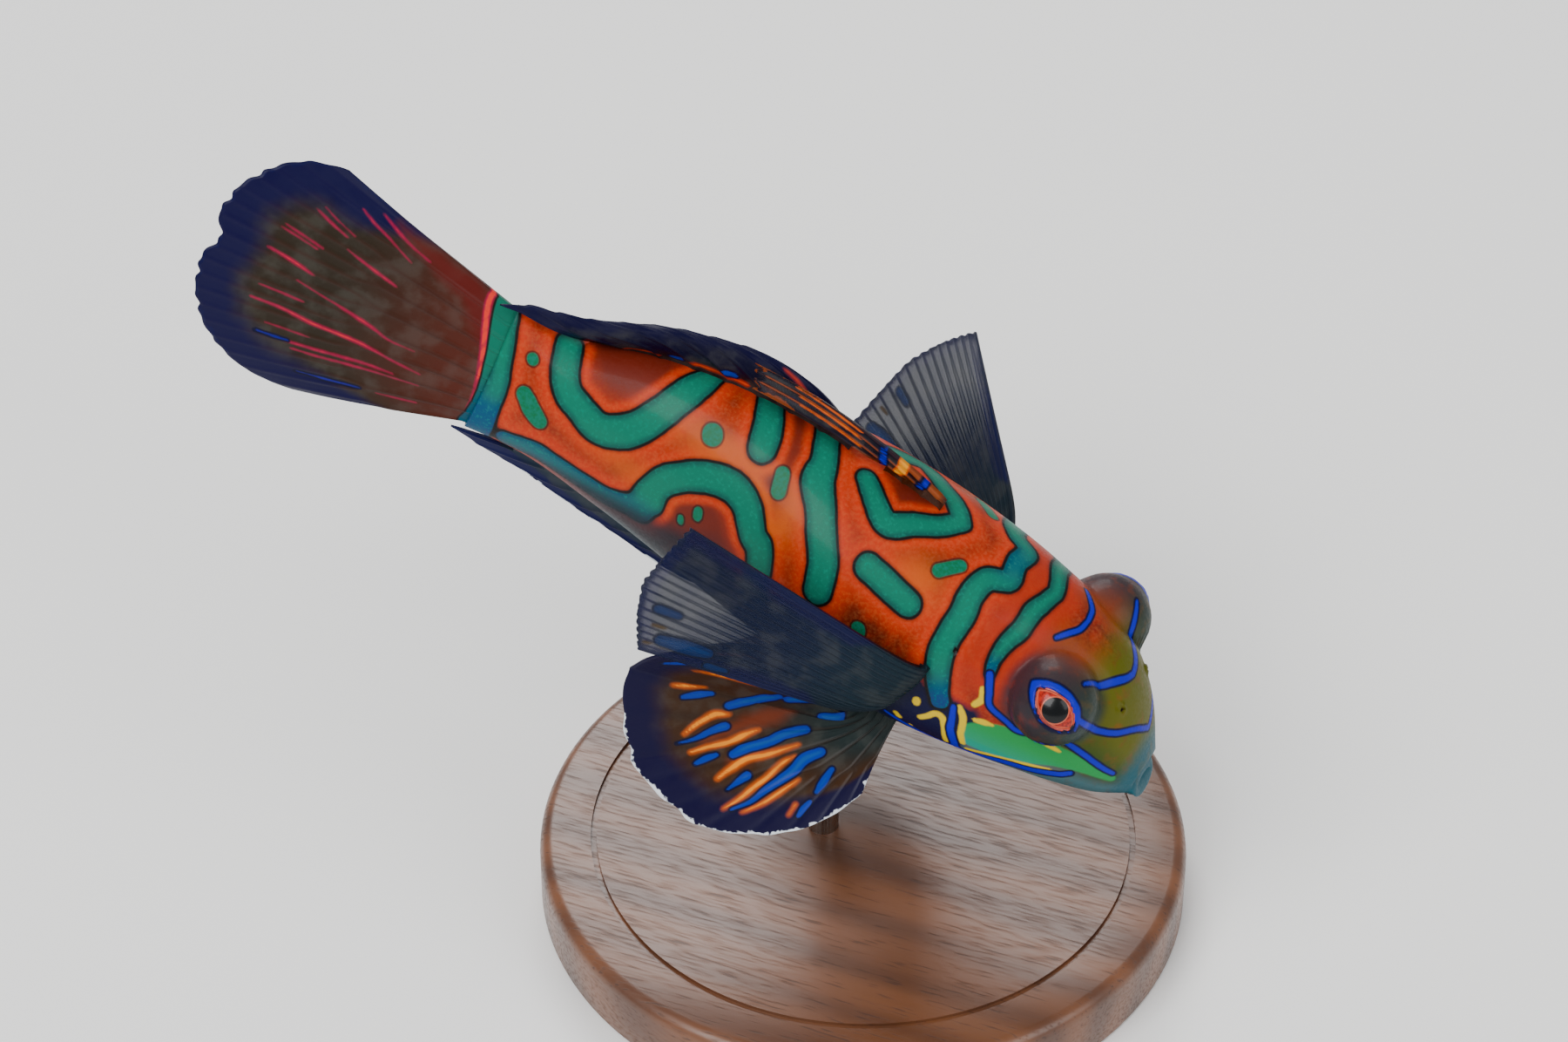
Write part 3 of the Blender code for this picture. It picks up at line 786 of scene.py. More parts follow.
@dataclass(frozen=True)
class FinFinish:
    """A thin ray fin: a clear middle, a dark margin with a pale edge, fine rays and coloured streaks.

    The widths are in mm. root_reach, margin_from and edge_until are shares of the way along or across the
    fin: where the root's colour fades, where the margin begins at the sides, and how far round the pale edge
    runs. clear, solid and dense are how opaque the membrane, its rays and its root are.
    """

    name: str
    middle: Colour
    root: Colour
    margin: Colour
    margin_width: float
    ray: Colour
    haze: Colour = screen(90, 90, 84)
    edge: Colour = screen(214, 220, 226)
    edge_width: float = 0.12
    warm: Colour = screen(196, 84, 2)
    warm_light: Colour = screen(224, 132, 6)
    warm_soft: float = 0.12
    cool: Colour = screen(2, 40, 140)
    cool_light: Colour = screen(0, 66, 136)
    halo: Colour = screen(4, 4, 34)
    halo_width: float = 0.12
    base_band: Colour = screen(0, 96, 76)
    base_low: Colour = screen(0, 68, 88)
    base_edge: Colour = screen(20, 16, 16)
    wash: Colour = screen(110, 34, 16)
    clear: float = 1.0
    solid: float = 0.88
    dense: float = 0.94
    edge_until: float = 1.1
    root_reach: Pair = (0.05, 0.5)
    margin_from: Pair = (0.05, 0.3)

    def make(self) -> Material:
        """The fin's material.

        Returns:
            The material.
        """
        b = Board(self.name)
        along, ray = b.read("along"), b.read("ray")
        rim = b.math("ADD", b.wander(b.read("rim"), 900, 0.3), b.rise(along, *self.margin_from, 3.0, 0.0))
        cloud = b.noise(700, 4.0)
        colour = b.mix(b.rise(along, *self.root_reach), self.root, self.middle)
        colour = b.mix(b.rise(cloud, 0.42, 0.66, 0.0, 0.35), colour, b.mix(0.5, colour, self.haze))
        colour = b.mix(b.math("MULTIPLY", ray, 0.5), colour, self.ray)
        margin = b.rise(rim, self.margin_width * 0.55, self.margin_width * 1.35, 0.94, 0.0)
        colour = b.mix(margin, colour, self.margin)
        wash = b.wander(b.read("wash"), 900, 0.25)
        colour = b.mix(b.rise(wash, -0.45, 0.5, 0.85, 0.0), colour, self.wash)
        warm, cool = b.wander(b.read("warm"), 1600, 0.05), b.wander(b.read("cool"), 1600, 0.04)
        haloed = b.within(cool, self.halo_width, 0.06)
        colour = b.mix(b.within(warm, 0.0, self.warm_soft), colour, self.warm)
        colour = b.mix(b.rise(warm, -0.04, -0.14), colour, self.warm_light)
        colour = b.mix(haloed, colour, self.halo)
        blue = b.mix(b.rise(cool, -0.3, -0.1), self.cool_light, self.cool)
        colour = b.mix(b.within(cool, 0.0, 0.05), colour, blue)
        across = b.read("across")
        base = b.mix(b.rise(across, 0.1, 0.6), self.base_low, self.base_band)
        colour = b.mix(b.within(b.read("base"), self.halo_width, 0.04), colour, self.base_edge)
        colour = b.mix(b.within(b.read("base"), 0.0, 0.05), colour, base)
        ragged = b.wander(b.wander(b.read("rim"), 2600, 0.3), 800, 0.4)
        ragged = b.math("ADD", ragged, b.rise(along, 0.5, 0.75, 1.0, 0.0))
        ragged = b.math("ADD", ragged, b.rise(across, self.edge_until, self.edge_until + 0.12))
        colour = b.mix(b.within(ragged, self.edge_width, 0.04), colour, self.edge)
        if self.clear < 1:
            marked = b.math("MAXIMUM", b.within(warm, 0.0, 0.08), haloed)
            ribbed = b.math("MAXIMUM", b.rise(ray, 0.1, 0.7), marked)
            solid = b.math("MAXIMUM", ribbed, b.within(rim, 0.25, 0.2))
            solid = b.math("MULTIPLY", solid, self.solid - self.clear)
            dense = b.rise(along, 0.3, 0.85, self.dense, self.clear)
            b.feed(b.shader.inputs["Alpha"], b.math("MINIMUM", b.math("ADD", solid, dense), 1.0))
        b.relief(b.math("ADD", b.noise(6000, 2.0), b.math("MULTIPLY", ray, 0.5)), 0.25, 0.03 * MM)
        return b.finish(colour, b.rise(cloud, 0.3, 0.7, 0.42, 0.55), Coat_Weight=0.05, Coat_Roughness=0.2,
                        Specular_IOR_Level=0.12)


@dataclass(frozen=True)
class WalnutFinish:
    """Satin walnut with its grain across the base."""

    light: Colour = screen(112, 68, 40)
    dark: Colour = screen(74, 42, 24)
    pore: Colour = screen(38, 20, 12)
    stretch: Triple = (0.1, 1, 1)
    turn: Triple = (0, 0, 0.15)
    bands_turn: Triple = (0.3, 0, 0.15)

    def make(self) -> Material:
        """The wood's material.

        Returns:
            The material.
        """
        b = Board("walnut")
        figure = b.noise(420, 4.0, self.stretch, self.turn)
        bands = b.node("ShaderNodeTexWave", (
            ("Vector", b.grain(self.stretch, self.bands_turn)), ("Scale", 90.0), ("Distortion", 3.0),
            ("Detail", 2.0), ("Detail Scale", 0.6),
        ), bands_direction="Y").outputs["Fac"]
        pores = b.noise(5200, 2.0, self.stretch, self.turn)
        share = b.math("ADD", b.math("MULTIPLY", bands, 0.3), b.math("MULTIPLY", figure, 0.7))
        colour = b.mix(b.rise(share, 0.15, 0.85), self.dark, self.light)
        colour = b.mix(b.rise(pores, 0.58, 0.72, 0.0, 0.5), colour, self.pore)
        height = b.math("SUBTRACT", b.math("MULTIPLY", share, 0.3), b.rise(pores, 0.58, 0.72))
        b.relief(height, 0.25, 0.05 * MM)
        return b.finish(colour, b.rise(pores, 0.4, 0.7, 0.34, 0.55), Coat_Weight=0.2, Coat_Roughness=0.25)


@dataclass(frozen=True)
class SteelFinish:
    """Brushed stainless steel, brushed along its length."""

    bright: Colour = screen(206, 206, 204)
    dull: Colour = screen(168, 168, 166)

    def make(self) -> Material:
        """The steel's material.

        Returns:
            The material.
        """
        b = Board("brushed_steel")
        brushed = b.noise(9000, 2.0, (1, 1, 0.03))
        b.relief(brushed, 0.2, 0.02 * MM)
        colour = b.mix(brushed, self.dull, self.bright)
        return b.finish(colour, b.rise(brushed, 0.3, 0.7, 0.24, 0.38), Metallic=1.0)


@dataclass(frozen=True)
class FloorFinish:
    """A pale, matt studio floor."""

    pale: Colour = screen(248, 247, 244)
    shade: Colour = screen(243, 242, 240)

    def make(self) -> Material:
        """The floor's material.

        Returns:
            The material.
        """
        b = Board("studio_floor")
        colour = b.mix(b.rise(b.noise(6, 3.0), 0.3, 0.7), self.pale, self.shade)
        return b.finish(colour, 0.85, Specular_IOR_Level=0.2)


# The fish's markings


@dataclass(frozen=True)
class Stroke:
    """A smooth stroke of colour through a few points, each with a half width in mm.

    On the skin a point is a station in mm and an angle from the middle of the back. On a fin it is the shares
    of the way across it and along it.
    """

    points: Rows


def strokes(*rows: Rows) -> tuple[Stroke, ...]:
    """Strokes from their points."""
    return tuple(Stroke(points) for points in rows)


@dataclass
class Markings:
    """All the lines and patches of colour on the skin, the same on both sides."""

    form: FishForm
    bands: tuple[Stroke, ...] = strokes(
        ((44.15, 0, 0.58), (43.8, 45, 0.6), (43.35, 70, 0.6), (42.95, 90, 0.62), (43.0, 110, 0.76),
         (42.95, 135, 0.82), (42.9, 165, 0.82)),
        ((40.2, 19, 0.72), (40.0, 45, 0.75), (39.4, 64, 0.75), (38.2, 74, 0.8), (36.9, 80, 0.9),
         (35.6, 75, 0.95), (34.7, 64, 0.9), (33.9, 45, 0.85), (33.1, 22, 0.8), (32.4, 0, 0.6)),
        ((41.2, 140, 0.6), (39.4, 128, 0.65), (38.1, 127, 0.65), (36.4, 125, 0.65), (34.7, 122, 0.65),
         (33.1, 112, 0.7), (32.2, 100, 0.75)),
        ((32.6, 111, 0.8), (32.6, 96, 0.85), (31.9, 83, 0.85), (30.2, 70, 0.85), (28.6, 65, 0.85),
         (27.3, 68, 0.85), (26.2, 77, 0.85), (25.5, 79, 0.8), (24.8, 88, 0.8), (24.3, 100, 0.75)),
        ((29.0, 0, 0.7), (28.5, 22, 0.78), (28.2, 36, 0.78)),
        ((25.5, 0, 0.66), (24.8, 20, 0.75), (24.6, 31, 0.9), (23.75, 41, 0.8), (22.75, 53, 0.82),
         (21.9, 63, 0.82), (21.4, 74, 0.8)),
        ((22.3, 12, 0.62), (21.5, 18, 0.65), (20.6, 24, 0.68), (19.9, 25, 0.68), (18.7, 16, 0.65),
         (17.5, 8, 0.62), (16.7, 0, 0.6)),
        ((19.7, 49, 0.72), (18.2, 50, 0.74), (16.7, 51, 0.72)),
        ((12.9, 0, 0.58), (12.75, 11, 0.6), (13.8, 18, 0.64), (14.05, 30, 0.68), (13.85, 41, 0.7),
         (13.8, 56, 0.7), (13.45, 66, 0.66), (12.85, 75, 0.6), (12.2, 82, 0.5)),
        ((10.2, 0, 0.42), (10.4, 7, 0.45), (10.7, 18, 0.5), (10.7, 29, 0.5), (10.95, 39, 0.45),
         (11.0, 50, 0.34), (10.75, 58, 0.22)),
    )
    spots: tuple[Stroke, ...] = strokes(
        ((41.8, 57, 0.33), (41.75, 58, 0.33)),
        ((41.4, 86, 0.5), (40.8, 91, 0.56), (40.1, 96, 0.5)),
        ((31.05, 46, 0.6), (31.0, 47, 0.6)),
        ((26.5, 41, 0.42), (26.2, 50, 0.45)),
        ((18.3, 75, 0.42), (18.2, 76, 0.42)),
        ((16.3, 29, 0.38), (15.4, 20, 0.36)),
        ((29.6, 87, 0.3), (29.5, 89, 0.3)),
        ((30.3, 95, 0.2), (30.2, 97, 0.2)),
    )
    lines: tuple[Stroke, ...] = strokes(
        ((10.75, 58, 0.2), (10.2, 66, 0.17), (9.75, 72, 0.15), (8.6, 75, 0.14), (7.5, 77, 0.14),
         (6.0, 70, 0.14), (4.5, 71, 0.16), (2.8, 73, 0.15), (1.9, 73, 0.12)),
        ((4.15, 0, 0.16), (4.35, 8, 0.18), (4.75, 17, 0.2), (5.35, 28, 0.17), (6.2, 38, 0.1)),
        ((6.1, 51, 0.13), (5.5, 53, 0.15), (4.7, 53, 0.17), (4.0, 52, 0.17), (3.0, 41, 0.16),
         (2.1, 16, 0.15), (1.7, 0, 0.15)),
        ((7.88, 0, 0.12), (8.0, 8, 0.14), (8.4, 15, 0.14), (8.85, 22, 0.11)),
        ((11.4, 81, 0.15), (10.9, 90, 0.2), (10.3, 104, 0.22), (10.0, 116, 0.22)),
        ((9.2, 118, 0.28), (7.4, 107, 0.26), (5.8, 101, 0.22), (3.9, 88, 0.18)),
        ((14.4, 110, 0.12), (13.2, 115, 0.2), (12.0, 119, 0.24), (10.8, 121, 0.26), (9.6, 120, 0.3)),
    )
    gold: tuple[Stroke, ...] = strokes(
        ((11.1, 80, 0.2), (10.5, 85, 0.2), (9.8, 101, 0.18)),
        ((10.6, 66, 0.18), (10.3, 71, 0.22), (10.5, 75, 0.2)),
        ((13.9, 104, 0.16), (13.6, 107, 0.18)),
        ((12.8, 112, 0.14), (12.75, 113, 0.14)),
        ((13.3, 87, 0.24), (13.25, 88, 0.24)),
        ((12.6, 95, 0.18), (12.0, 88, 0.2), (11.3, 90, 0.2), (10.9, 100, 0.2), (10.6, 112, 0.16)),
        ((10.0, 82, 0.14), (9.5, 81, 0.2), (9.0, 80.5, 0.1)),
        ((6.2, 77.5, 0.05), (5.7, 77, 0.15), (5.1, 77.5, 0.1)),
        ((9.4, 109, 0.16), (8.2, 103.5, 0.18), (7.0, 98.5, 0.18), (5.8, 93.5, 0.16), (4.9, 89.5, 0.1)),
    )
    cheek: tuple[Stroke, ...] = strokes(
        ((9.4, 89, 1.05), (8.2, 87, 1.3), (6.8, 84.5, 1.2), (5.2, 81.5, 0.85), (3.4, 80, 0.5),
         (1.8, 79, 0.28)),
    )

    def measure(self, places: Array, marks: Sequence[Stroke], blend: float = 0.3) -> Array:
        """How far places on the straight fish lie outside a set of marks.

        Args:
            places: stations, sides and heights in mm.
            marks: the marks to measure to.
            blend: how much marks that meet are rounded into each other, in mm.

        Returns:
            One distance in mm for each place.
        """
        folded = places.copy()
        folded[:, 1] = np.abs(folded[:, 1])
        away = np.full(len(places), FAR)
        for mark in marks:
            line = along_curve(mark.points)
            side, height = self.form.section(line[:, 0] * MM, line[:, 1])
            track = np.stack([line[:, 0], side / MM, height / MM], axis=1)
            away = joined(away, distance_to(folded, track, line[:, 2]), blend)
        return away


# The fish


def window(value: Array, low: float, high: float, soft: float) -> Array:
    """1 between two values and 0 outside them, with soft edges."""
    return smoothstep(low - soft, low + soft, value) * (1 - smoothstep(high - soft, high + soft, value))


def patches(station: Array, degrees: Array, rows: Rows) -> Array:
    """Soft round patches on the body.

    Args:
        station: stations in mm.
        degrees: angles from the middle of the back.
        rows: each patch's station, angle, reach along and round the body, and strength.

    Returns:
        The patches' strengths added up.
    """
    return sum(
        strength * np.exp(-(((station - at) / long) ** 2) - ((degrees - turn) / wide) ** 2)
        for at, turn, long, wide, strength in rows
    )


@dataclass(frozen=True)
class Hole:
    """A small round hole in the skin with a raised rim. All is in mm but for its angle from the back."""

    station: float
    degrees: float
    radius: float
    rim_radius: float
    rim_height: float
    depth: float


@dataclass
class Skin:
    """The whole body in one skin, from the hollow of the mouth to the end of the tail stem.

    Each of the mouth's rings is given as shares of its width, its height and its depth. golden, saddles and
    azure are rows of patches().
    """

    form: FishForm
    opening: EyeOpening
    segments: int = 224
    station_step: float = 0.142 * MM
    snout: float = 0.6 * MM
    lip_tilt: float = math.radians(34)
    lip_thickness: float = 0.55 * MM
    lip_half: Pair = (1.35 * MM, 0.75 * MM)
    lip_turns: tuple[float, float, int] = (-72, 84, 11)
    lip_root: float = 0.35
    lip_swell: float = 0.3
    mouth_half: Pair = (0.85 * MM, 0.16 * MM)
    mouth_depth: float = 0.9 * MM
    mouth_rings: Rows = ((0, 0, 1), (0.8, 1, 1), (0.95, 1.4, 0))
    end_shares: tuple[float, ...] = (0.9, 0.6, 0.0)
    end_bulge: float = 0.12
    end_lift: float = 0.5
    nostril: Hole = Hole(3.6, 27, 0.13, 0.32, 0.17, 0.35)
    gill: Hole = Hole(13.05, 57, 0.16, 0.4, 0.05, 0.25)
    golden: Rows = (
        (29.5, 52, 4.2, 13, 1.0), (25.6, 62, 1.2, 18, 1.0), (17.0, 38, 1.6, 12, 0.8), (34.0, 92, 3.0, 9, 0.6),
    )
    saddles: Rows = (
        (36.6, 10, 2.6, 46, 1.6), (29.6, 95, 2.4, 20, 1.6), (19.3, 5, 1.8, 20, 1.6), (26.7, 10, 1.0, 60, 1.6),
    )
    azure: Rows = ((12.2, 82, 1.5, 10, 1.0), (13.0, 0, 1.0, 12, 0.5))

    def lip_ring(self, half_width: float, half_height: float, forward: float) -> Array:
        """An oval round the mouth's own axis.

        Args:
            half_width: half its width.
            half_height: half its height.
            forward: how far it lies in front of the snout.

        Returns:
            The stations, sides and heights of its points in mm.
        """
        angle = np.linspace(0, 2 * math.pi, self.segments + 1)
        up = half_height * np.cos(angle)
        ahead = forward * math.cos(self.lip_tilt) - up * math.sin(self.lip_tilt)
        middle = float(self.form.widest(self.snout)) * MM
        height = middle - forward * math.sin(self.lip_tilt) + up * math.cos(self.lip_tilt)
        return np.stack([self.snout - ahead, half_width * np.sin(angle), height], axis=1) / MM

    def rings(self) -> Array:
        """The rings of the skin on the straight fish, from the back of the mouth to the end of the tail stem.

        Returns:
            The stations, sides and heights of their points in mm, one row of points for each ring.
        """
        (wide, tall), (mouth_wide, mouth_tall), thick = self.lip_half, self.mouth_half, self.lip_thickness
        rings = [
            self.lip_ring(mouth_wide * across, mouth_tall * up, (thick - self.mouth_depth) * deep)
            for across, up, deep in self.mouth_rings
        ]
        for turn in np.radians(np.linspace(*self.lip_turns)):
            part = (1 + math.sin(turn)) / 2
            swell = thick * part * self.lip_swell
            rings.append(self.lip_ring(
                mouth_wide + (wide - mouth_wide) * part + swell,
                mouth_tall + (tall - mouth_tall) * part + swell,
                thick * (self.lip_root + (1 - self.lip_root) * math.cos(turn)),
            ))
        angle = np.linspace(0, 360, self.segments + 1)
        count = round((self.form.standard_length - self.snout) / self.station_step)
        for station in np.linspace(self.snout, self.form.standard_length, count):
            side, height = self.form.section(np.full_like(angle, station), angle)
            rings.append(np.stack([np.full_like(angle, station), side, height], axis=1) / MM)
        last = rings[-1]
        for share in self.end_shares:
            step = np.array((self.end_bulge, 0, self.end_lift)) * (1 - share)
            rings.append(last * (1, share, share) + step)
        return np.array(rings)

    def open_eyes(self, places: Array) -> tuple[Array, Array, Array]:
        """Shapes the lids and sinks the skin in the eyes' openings.

        Args:
            places: places on the straight fish in mm.

        Returns:
            The new places, how far each lies outside the nearer eye's opening, and how far outside the blue
            ring round that, which is thicker above than below.
        """
        lids = self.opening
        places, away, halo = places.copy(), np.full(len(places), FAR), np.full(len(places), FAR)
        for side in Side:
            middle = self.form.orbit(side) / MM
            axes = self.form.gaze_axes(side, lids.tilt)
            own = (places - middle) @ axes.T
            reach = np.hypot(own[:, 0], own[:, 1])
            near = np.nonzero((own[:, 2] > lids.dome_from) & (reach < lids.dome_reach))[0]
            along, across, height, reach = own[near, 0], own[near, 1], own[near, 2], reach[near]
            gap, ball = lids.away(along, across), lids.ball_height(reach)
            lid = -joined(-height, -(ball + lids.lid_thickness), lids.lid_blend)
            fade = 1 - smoothstep(*lids.lid_fade, reach)
            fold_at, fold_width, fold_height = lids.fold
            folded = fold_height * np.exp(-(((gap - fold_at) / fold_width) ** 2))
            sunk = smoothstep(*lids.sink_from, -gap)
            own[near, 2] = (height + (lid - height) * fade + folded) * (1 - sunk) + (ball - lids.sink) * sunk
            places[near] = own[near] @ axes + middle
            away[near] = np.minimum(away[near], gap)
            above = smoothstep(-0.75, 0.55, (across - 0.5 * along) / np.maximum(reach, 0.01))
            (ring_at, ring_half), (more_at, more_half) = lids.ring, lids.ring_above
            ring = np.abs(gap - ring_at - more_at * above) - ring_half - more_half * above
            halo[near] = np.where(gap < lids.ring_reach, np.minimum(halo[near], ring), halo[near])
        return places, away, halo

    def pierce(self, places: Array) -> tuple[Array, Array]:
        """Raises the nostrils and dents the gill pores.

        Args:
            places: places on the straight fish in mm.

        Returns:
            The new places, and how deep in a hole each lies, from 0 to 1.
        """
        places, pit = places.copy(), np.zeros(len(places))
        for side, hole in ((side, hole) for side in Side for hole in (self.nostril, self.gill)):
            across, height = self.form.section(hole.station * MM, side.hand * hole.degrees)
            middle = np.array((hole.station, float(across) / MM, float(height) / MM))
            outward = middle * (0, 1, 1) / np.linalg.norm(middle[1:])
            reach = np.linalg.norm(places - middle, axis=1)
            wall = smoothstep(-hole.rim_radius * 1.25, -hole.rim_radius * 0.75, -reach)
            bore = smoothstep(-hole.radius * 1.15, -hole.radius * 0.75, -reach)
            places += outward * (wall * hole.rim_height - bore * (hole.rim_height + hole.depth))[:, None]
            pit = np.maximum(pit, bore)
        return places, pit

    def zones(self, station: Array, degrees: Array) -> dict[str, Array]:
        """How strongly each ground colour and each painted shade shows, by name, mostly from 0 to 1.

        A zone's ends are stations in mm or angles in degrees, as the value beside them is.

        Args:
            station: stations in mm.
            degrees: angles from the middle of the back, 0 to 180.

        Returns:
            A set of values for each name.
        """
        lowered = degrees + 0.9 * (21 - station) - 3.0 * np.maximum(station - 28, 0)
        azure = (
            0.3 * smoothstep(41.0, 42.2, station) * smoothstep(70, 120, degrees)
            + 0.8 * window(station, 9.0, 11.4, 0.4) * smoothstep(44, 58, degrees)
            + 0.5 * smoothstep(95, 115, degrees) + patches(station, degrees, self.azure)
        )
        return {
            "golden": np.clip(patches(station, degrees, self.golden), 0, 0.85),
            "coral": 0.75 * window(station, 8.6, 12.6, 0.8) * (1 - smoothstep(60, 85, degrees)),
            "crown": 0.85 * window(station, 4.8, 9.0, 0.9) * window(degrees, 10, 44, 9),
            "saddle": 0.95 * np.clip(patches(station, degrees, self.saddles), 0, 1),
            "olive": 0.96 * (1 - smoothstep(5.0, 7.4, station)) * (1 - smoothstep(75, 95, degrees)),
            "moss": 0.8 * smoothstep(42, 78, degrees) * (1 - smoothstep(3.4, 6.4, station)),
            "belly": 0.85 * smoothstep(112, 150, degrees) * (1 - smoothstep(33, 40, station))
            + 0.9 * smoothstep(80, 94, degrees) * (1 - smoothstep(9.5, 12, station)),
            "jaw": smoothstep(82, 100, degrees),
            # Painted shade of the pectoral fin round the throat and the fin's foot.
            "navy_fin_shade": 1.35 * window(station, 9.9, 15.0, 0.5) * smoothstep(75, 81, degrees)
            * (1 - smoothstep(135, 160, degrees)),
            # Painted shade of the fins on the lower flank, weaker towards the middle of the belly.
            "under_fin_shade": 0.9 * window(station, 14.4, 42.0, 1.2) * smoothstep(78, 97, lowered)
            * (1 - 0.75 * smoothstep(130, 165, degrees)),
            "lips": 1 - smoothstep(0.9, 2.0, station),
            "azure": np.clip(azure, 0, 1),
        }

    def dome(self, flat: Array, degrees: Array, lid_gap: Array) -> Array:
        """How strongly the dark colour of the eyes' domes shows, from 0 to 1.

        Args:
            flat: places on the straight fish in mm.
            degrees: their angles from the middle of the back.
            lid_gap: how far they lie outside the eyes' openings in mm.

        Returns:
            One value for each place.
        """
        middle = self.form.orbit(Side.LEFT) / MM
        folded = np.column_stack([flat[:, 0], np.abs(flat[:, 1]), flat[:, 2]])
        orbit = np.linalg.norm(folded - middle, axis=1) - self.form.orbit_radius / MM
        over = (1 - smoothstep(0.0, 0.8, np.abs(orbit))) * smoothstep(14, 42, degrees) * (flat[:, 2] > 0)
        return np.maximum(0.85 * over, 0.8 * (1 - smoothstep(0.5, 1.1, lid_gap)))

    def build(self) -> Piece:
        """The skin as one closed piece, with what its material reads.

        Returns:
            The piece.
        """
        rings = self.rings()
        flat = rings.reshape(-1, 3)
        markings = Markings(self.form)
        opened, lid_gap, halo = self.open_eyes(flat)
        opened, pit = self.pierce(opened)
        bent = self.form.place(*(opened[:, k] * MM for k in range(3)))
        piece = grid_piece("fish_skin", bent.reshape(rings.shape))
        degrees = np.tile(180 - np.abs(180 - np.linspace(0, 360, self.segments + 1)), len(rings))
        values = {
            "band": markings.measure(flat, markings.bands, 0.5),
            "spots": markings.measure(flat, markings.spots),
            "gold": markings.measure(flat, markings.gold),
            "cheek": markings.measure(flat, markings.cheek),
            "pit": pit,
            "line": np.minimum(markings.measure(flat, markings.lines), halo),
            "dome": self.dome(flat, degrees, lid_gap),
            **self.zones(flat[:, 0], degrees),
        }
        for name, value in values.items():
            store(piece, name, value)
        close_up(piece)
        piece.data.materials.append(SkinFinish().make())
        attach(piece, "root")
        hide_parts("head", "torso", "tail_stem")
        return piece


@dataclass
class Eye:
    """One eyeball and the moist edge of its lids, with lengths in mm.

    raised is the radius of the clear front that is pushed out, how far it is, and how far away that fades.
    """

    form: FishForm
    opening: EyeOpening
    side: Side
    ball_segments: int = 72
    ball_rings: int = 56
    raised: Triple = (0.5, 0.02, 0.6)
    edge_points: int = 96
    edge_sides: int = 10
    edge_radius: float = 0.075
    edge_flatness: float = 1.3
    edge_lift: float = 0.03
    edge_smoothing: int = 3

    def room_axes(self) -> Array:
        """The eye's along, across and outward directions in the room."""
        own = self.form.gaze_axes(self.side, self.opening.tilt)
        return np.array([self.form.direction(self.form.eye_station, *axis) for axis in own])

    def middle(self) -> Array:
        """The middle of the orbit in the room."""
        return self.form.place(*self.form.orbit(self.side))

    def ball(self) -> Piece:
        """The eyeball, with a slightly raised clear front.

        Returns:
            The piece.
        """
        axes, middle = self.room_axes(), self.middle()
        centre = middle + axes[2] * self.opening.ball_middle * MM
        turn = Vector(axes[2]).to_track_quat("Z", "Y").to_euler()
        bpy.ops.object.select_all(action="DESELECT")
        bpy.ops.mesh.primitive_uv_sphere_add(
            segments=self.ball_segments, ring_count=self.ball_rings,
            radius=self.opening.ball_radius * MM, location=centre, rotation=turn,
        )
        piece = named(f"eyeball_{self.side.value}")
        bpy.ops.object.transform_apply(location=True, rotation=True, scale=True)
        points = np.zeros(len(piece.data.vertices) * 3, np.float32)
        piece.data.vertices.foreach_get("co", points)
        own = (points.reshape(-1, 3) - middle) @ axes.T / MM
        store(piece, "along", own[:, 0])
        store(piece, "across", own[:, 1])
        store(piece, "edge", self.opening.away(own[:, 0], own[:, 1]))
        out, (radius, rise, fade) = Vector(axes[2]), self.raised
        front = Vector(centre) + out * self.opening.ball_radius * MM
        bpy.ops.object.mode_set(mode="EDIT")
        choose(piece, Pick.FACES, lambda place, normal: (place - front).length < radius * MM)
        bpy.ops.transform.translate(
            value=out * rise * MM, use_proportional_edit=True, proportional_size=fade * MM,
            proportional_edit_falloff="SMOOTH",
        )
        bpy.ops.object.mode_set(mode="OBJECT")
        piece.data.materials.append(EyeFinish().make())
        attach(piece, "root")
        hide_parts(f"eye_{self.side.value}")
        return piece

    def lid_edge(self) -> Piece:
        """A fine, moist edge round the opening, lying on the eyeball.

        Returns:
            The piece.
        """
        axes, middle = self.room_axes(), self.middle()
        edge = self.opening.edge(self.edge_points)
        for _ in range(self.edge_smoothing):
            edge = (np.roll(edge, 1, axis=0) + 2 * edge + np.roll(edge, -1, axis=0)) / 4
        reach = np.hypot(edge[:, 0], edge[:, 1])
        track = np.column_stack([edge, self.opening.ball_height(reach) + self.edge_lift])
        ahead = np.roll(track, -1, axis=0) - np.roll(track, 1, axis=0)
        ahead /= np.linalg.norm(ahead, axis=1, keepdims=True)
        out = np.column_stack([edge, self.opening.ball_height(reach) - self.opening.ball_middle])
        out -= ahead * (out * ahead).sum(1, keepdims=True)
        out /= np.linalg.norm(out, axis=1, keepdims=True)
        aside = np.cross(ahead, out)
        turn = np.linspace(0, 2 * math.pi, self.edge_sides + 1)
        up, over = np.cos(turn)[:, None], np.sin(turn)[:, None] * self.edge_flatness
        rings = track[:, None] + self.edge_radius * (out[:, None] * up + aside[:, None] * over)
        rings = np.concatenate([rings, rings[:1]])
        piece = grid_piece(f"lid_edge_{self.side.value}", middle + rings @ axes * MM)
        close_up(piece)
        piece.data.materials.append(RimFinish().make())
        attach(piece, "root")
        return piece


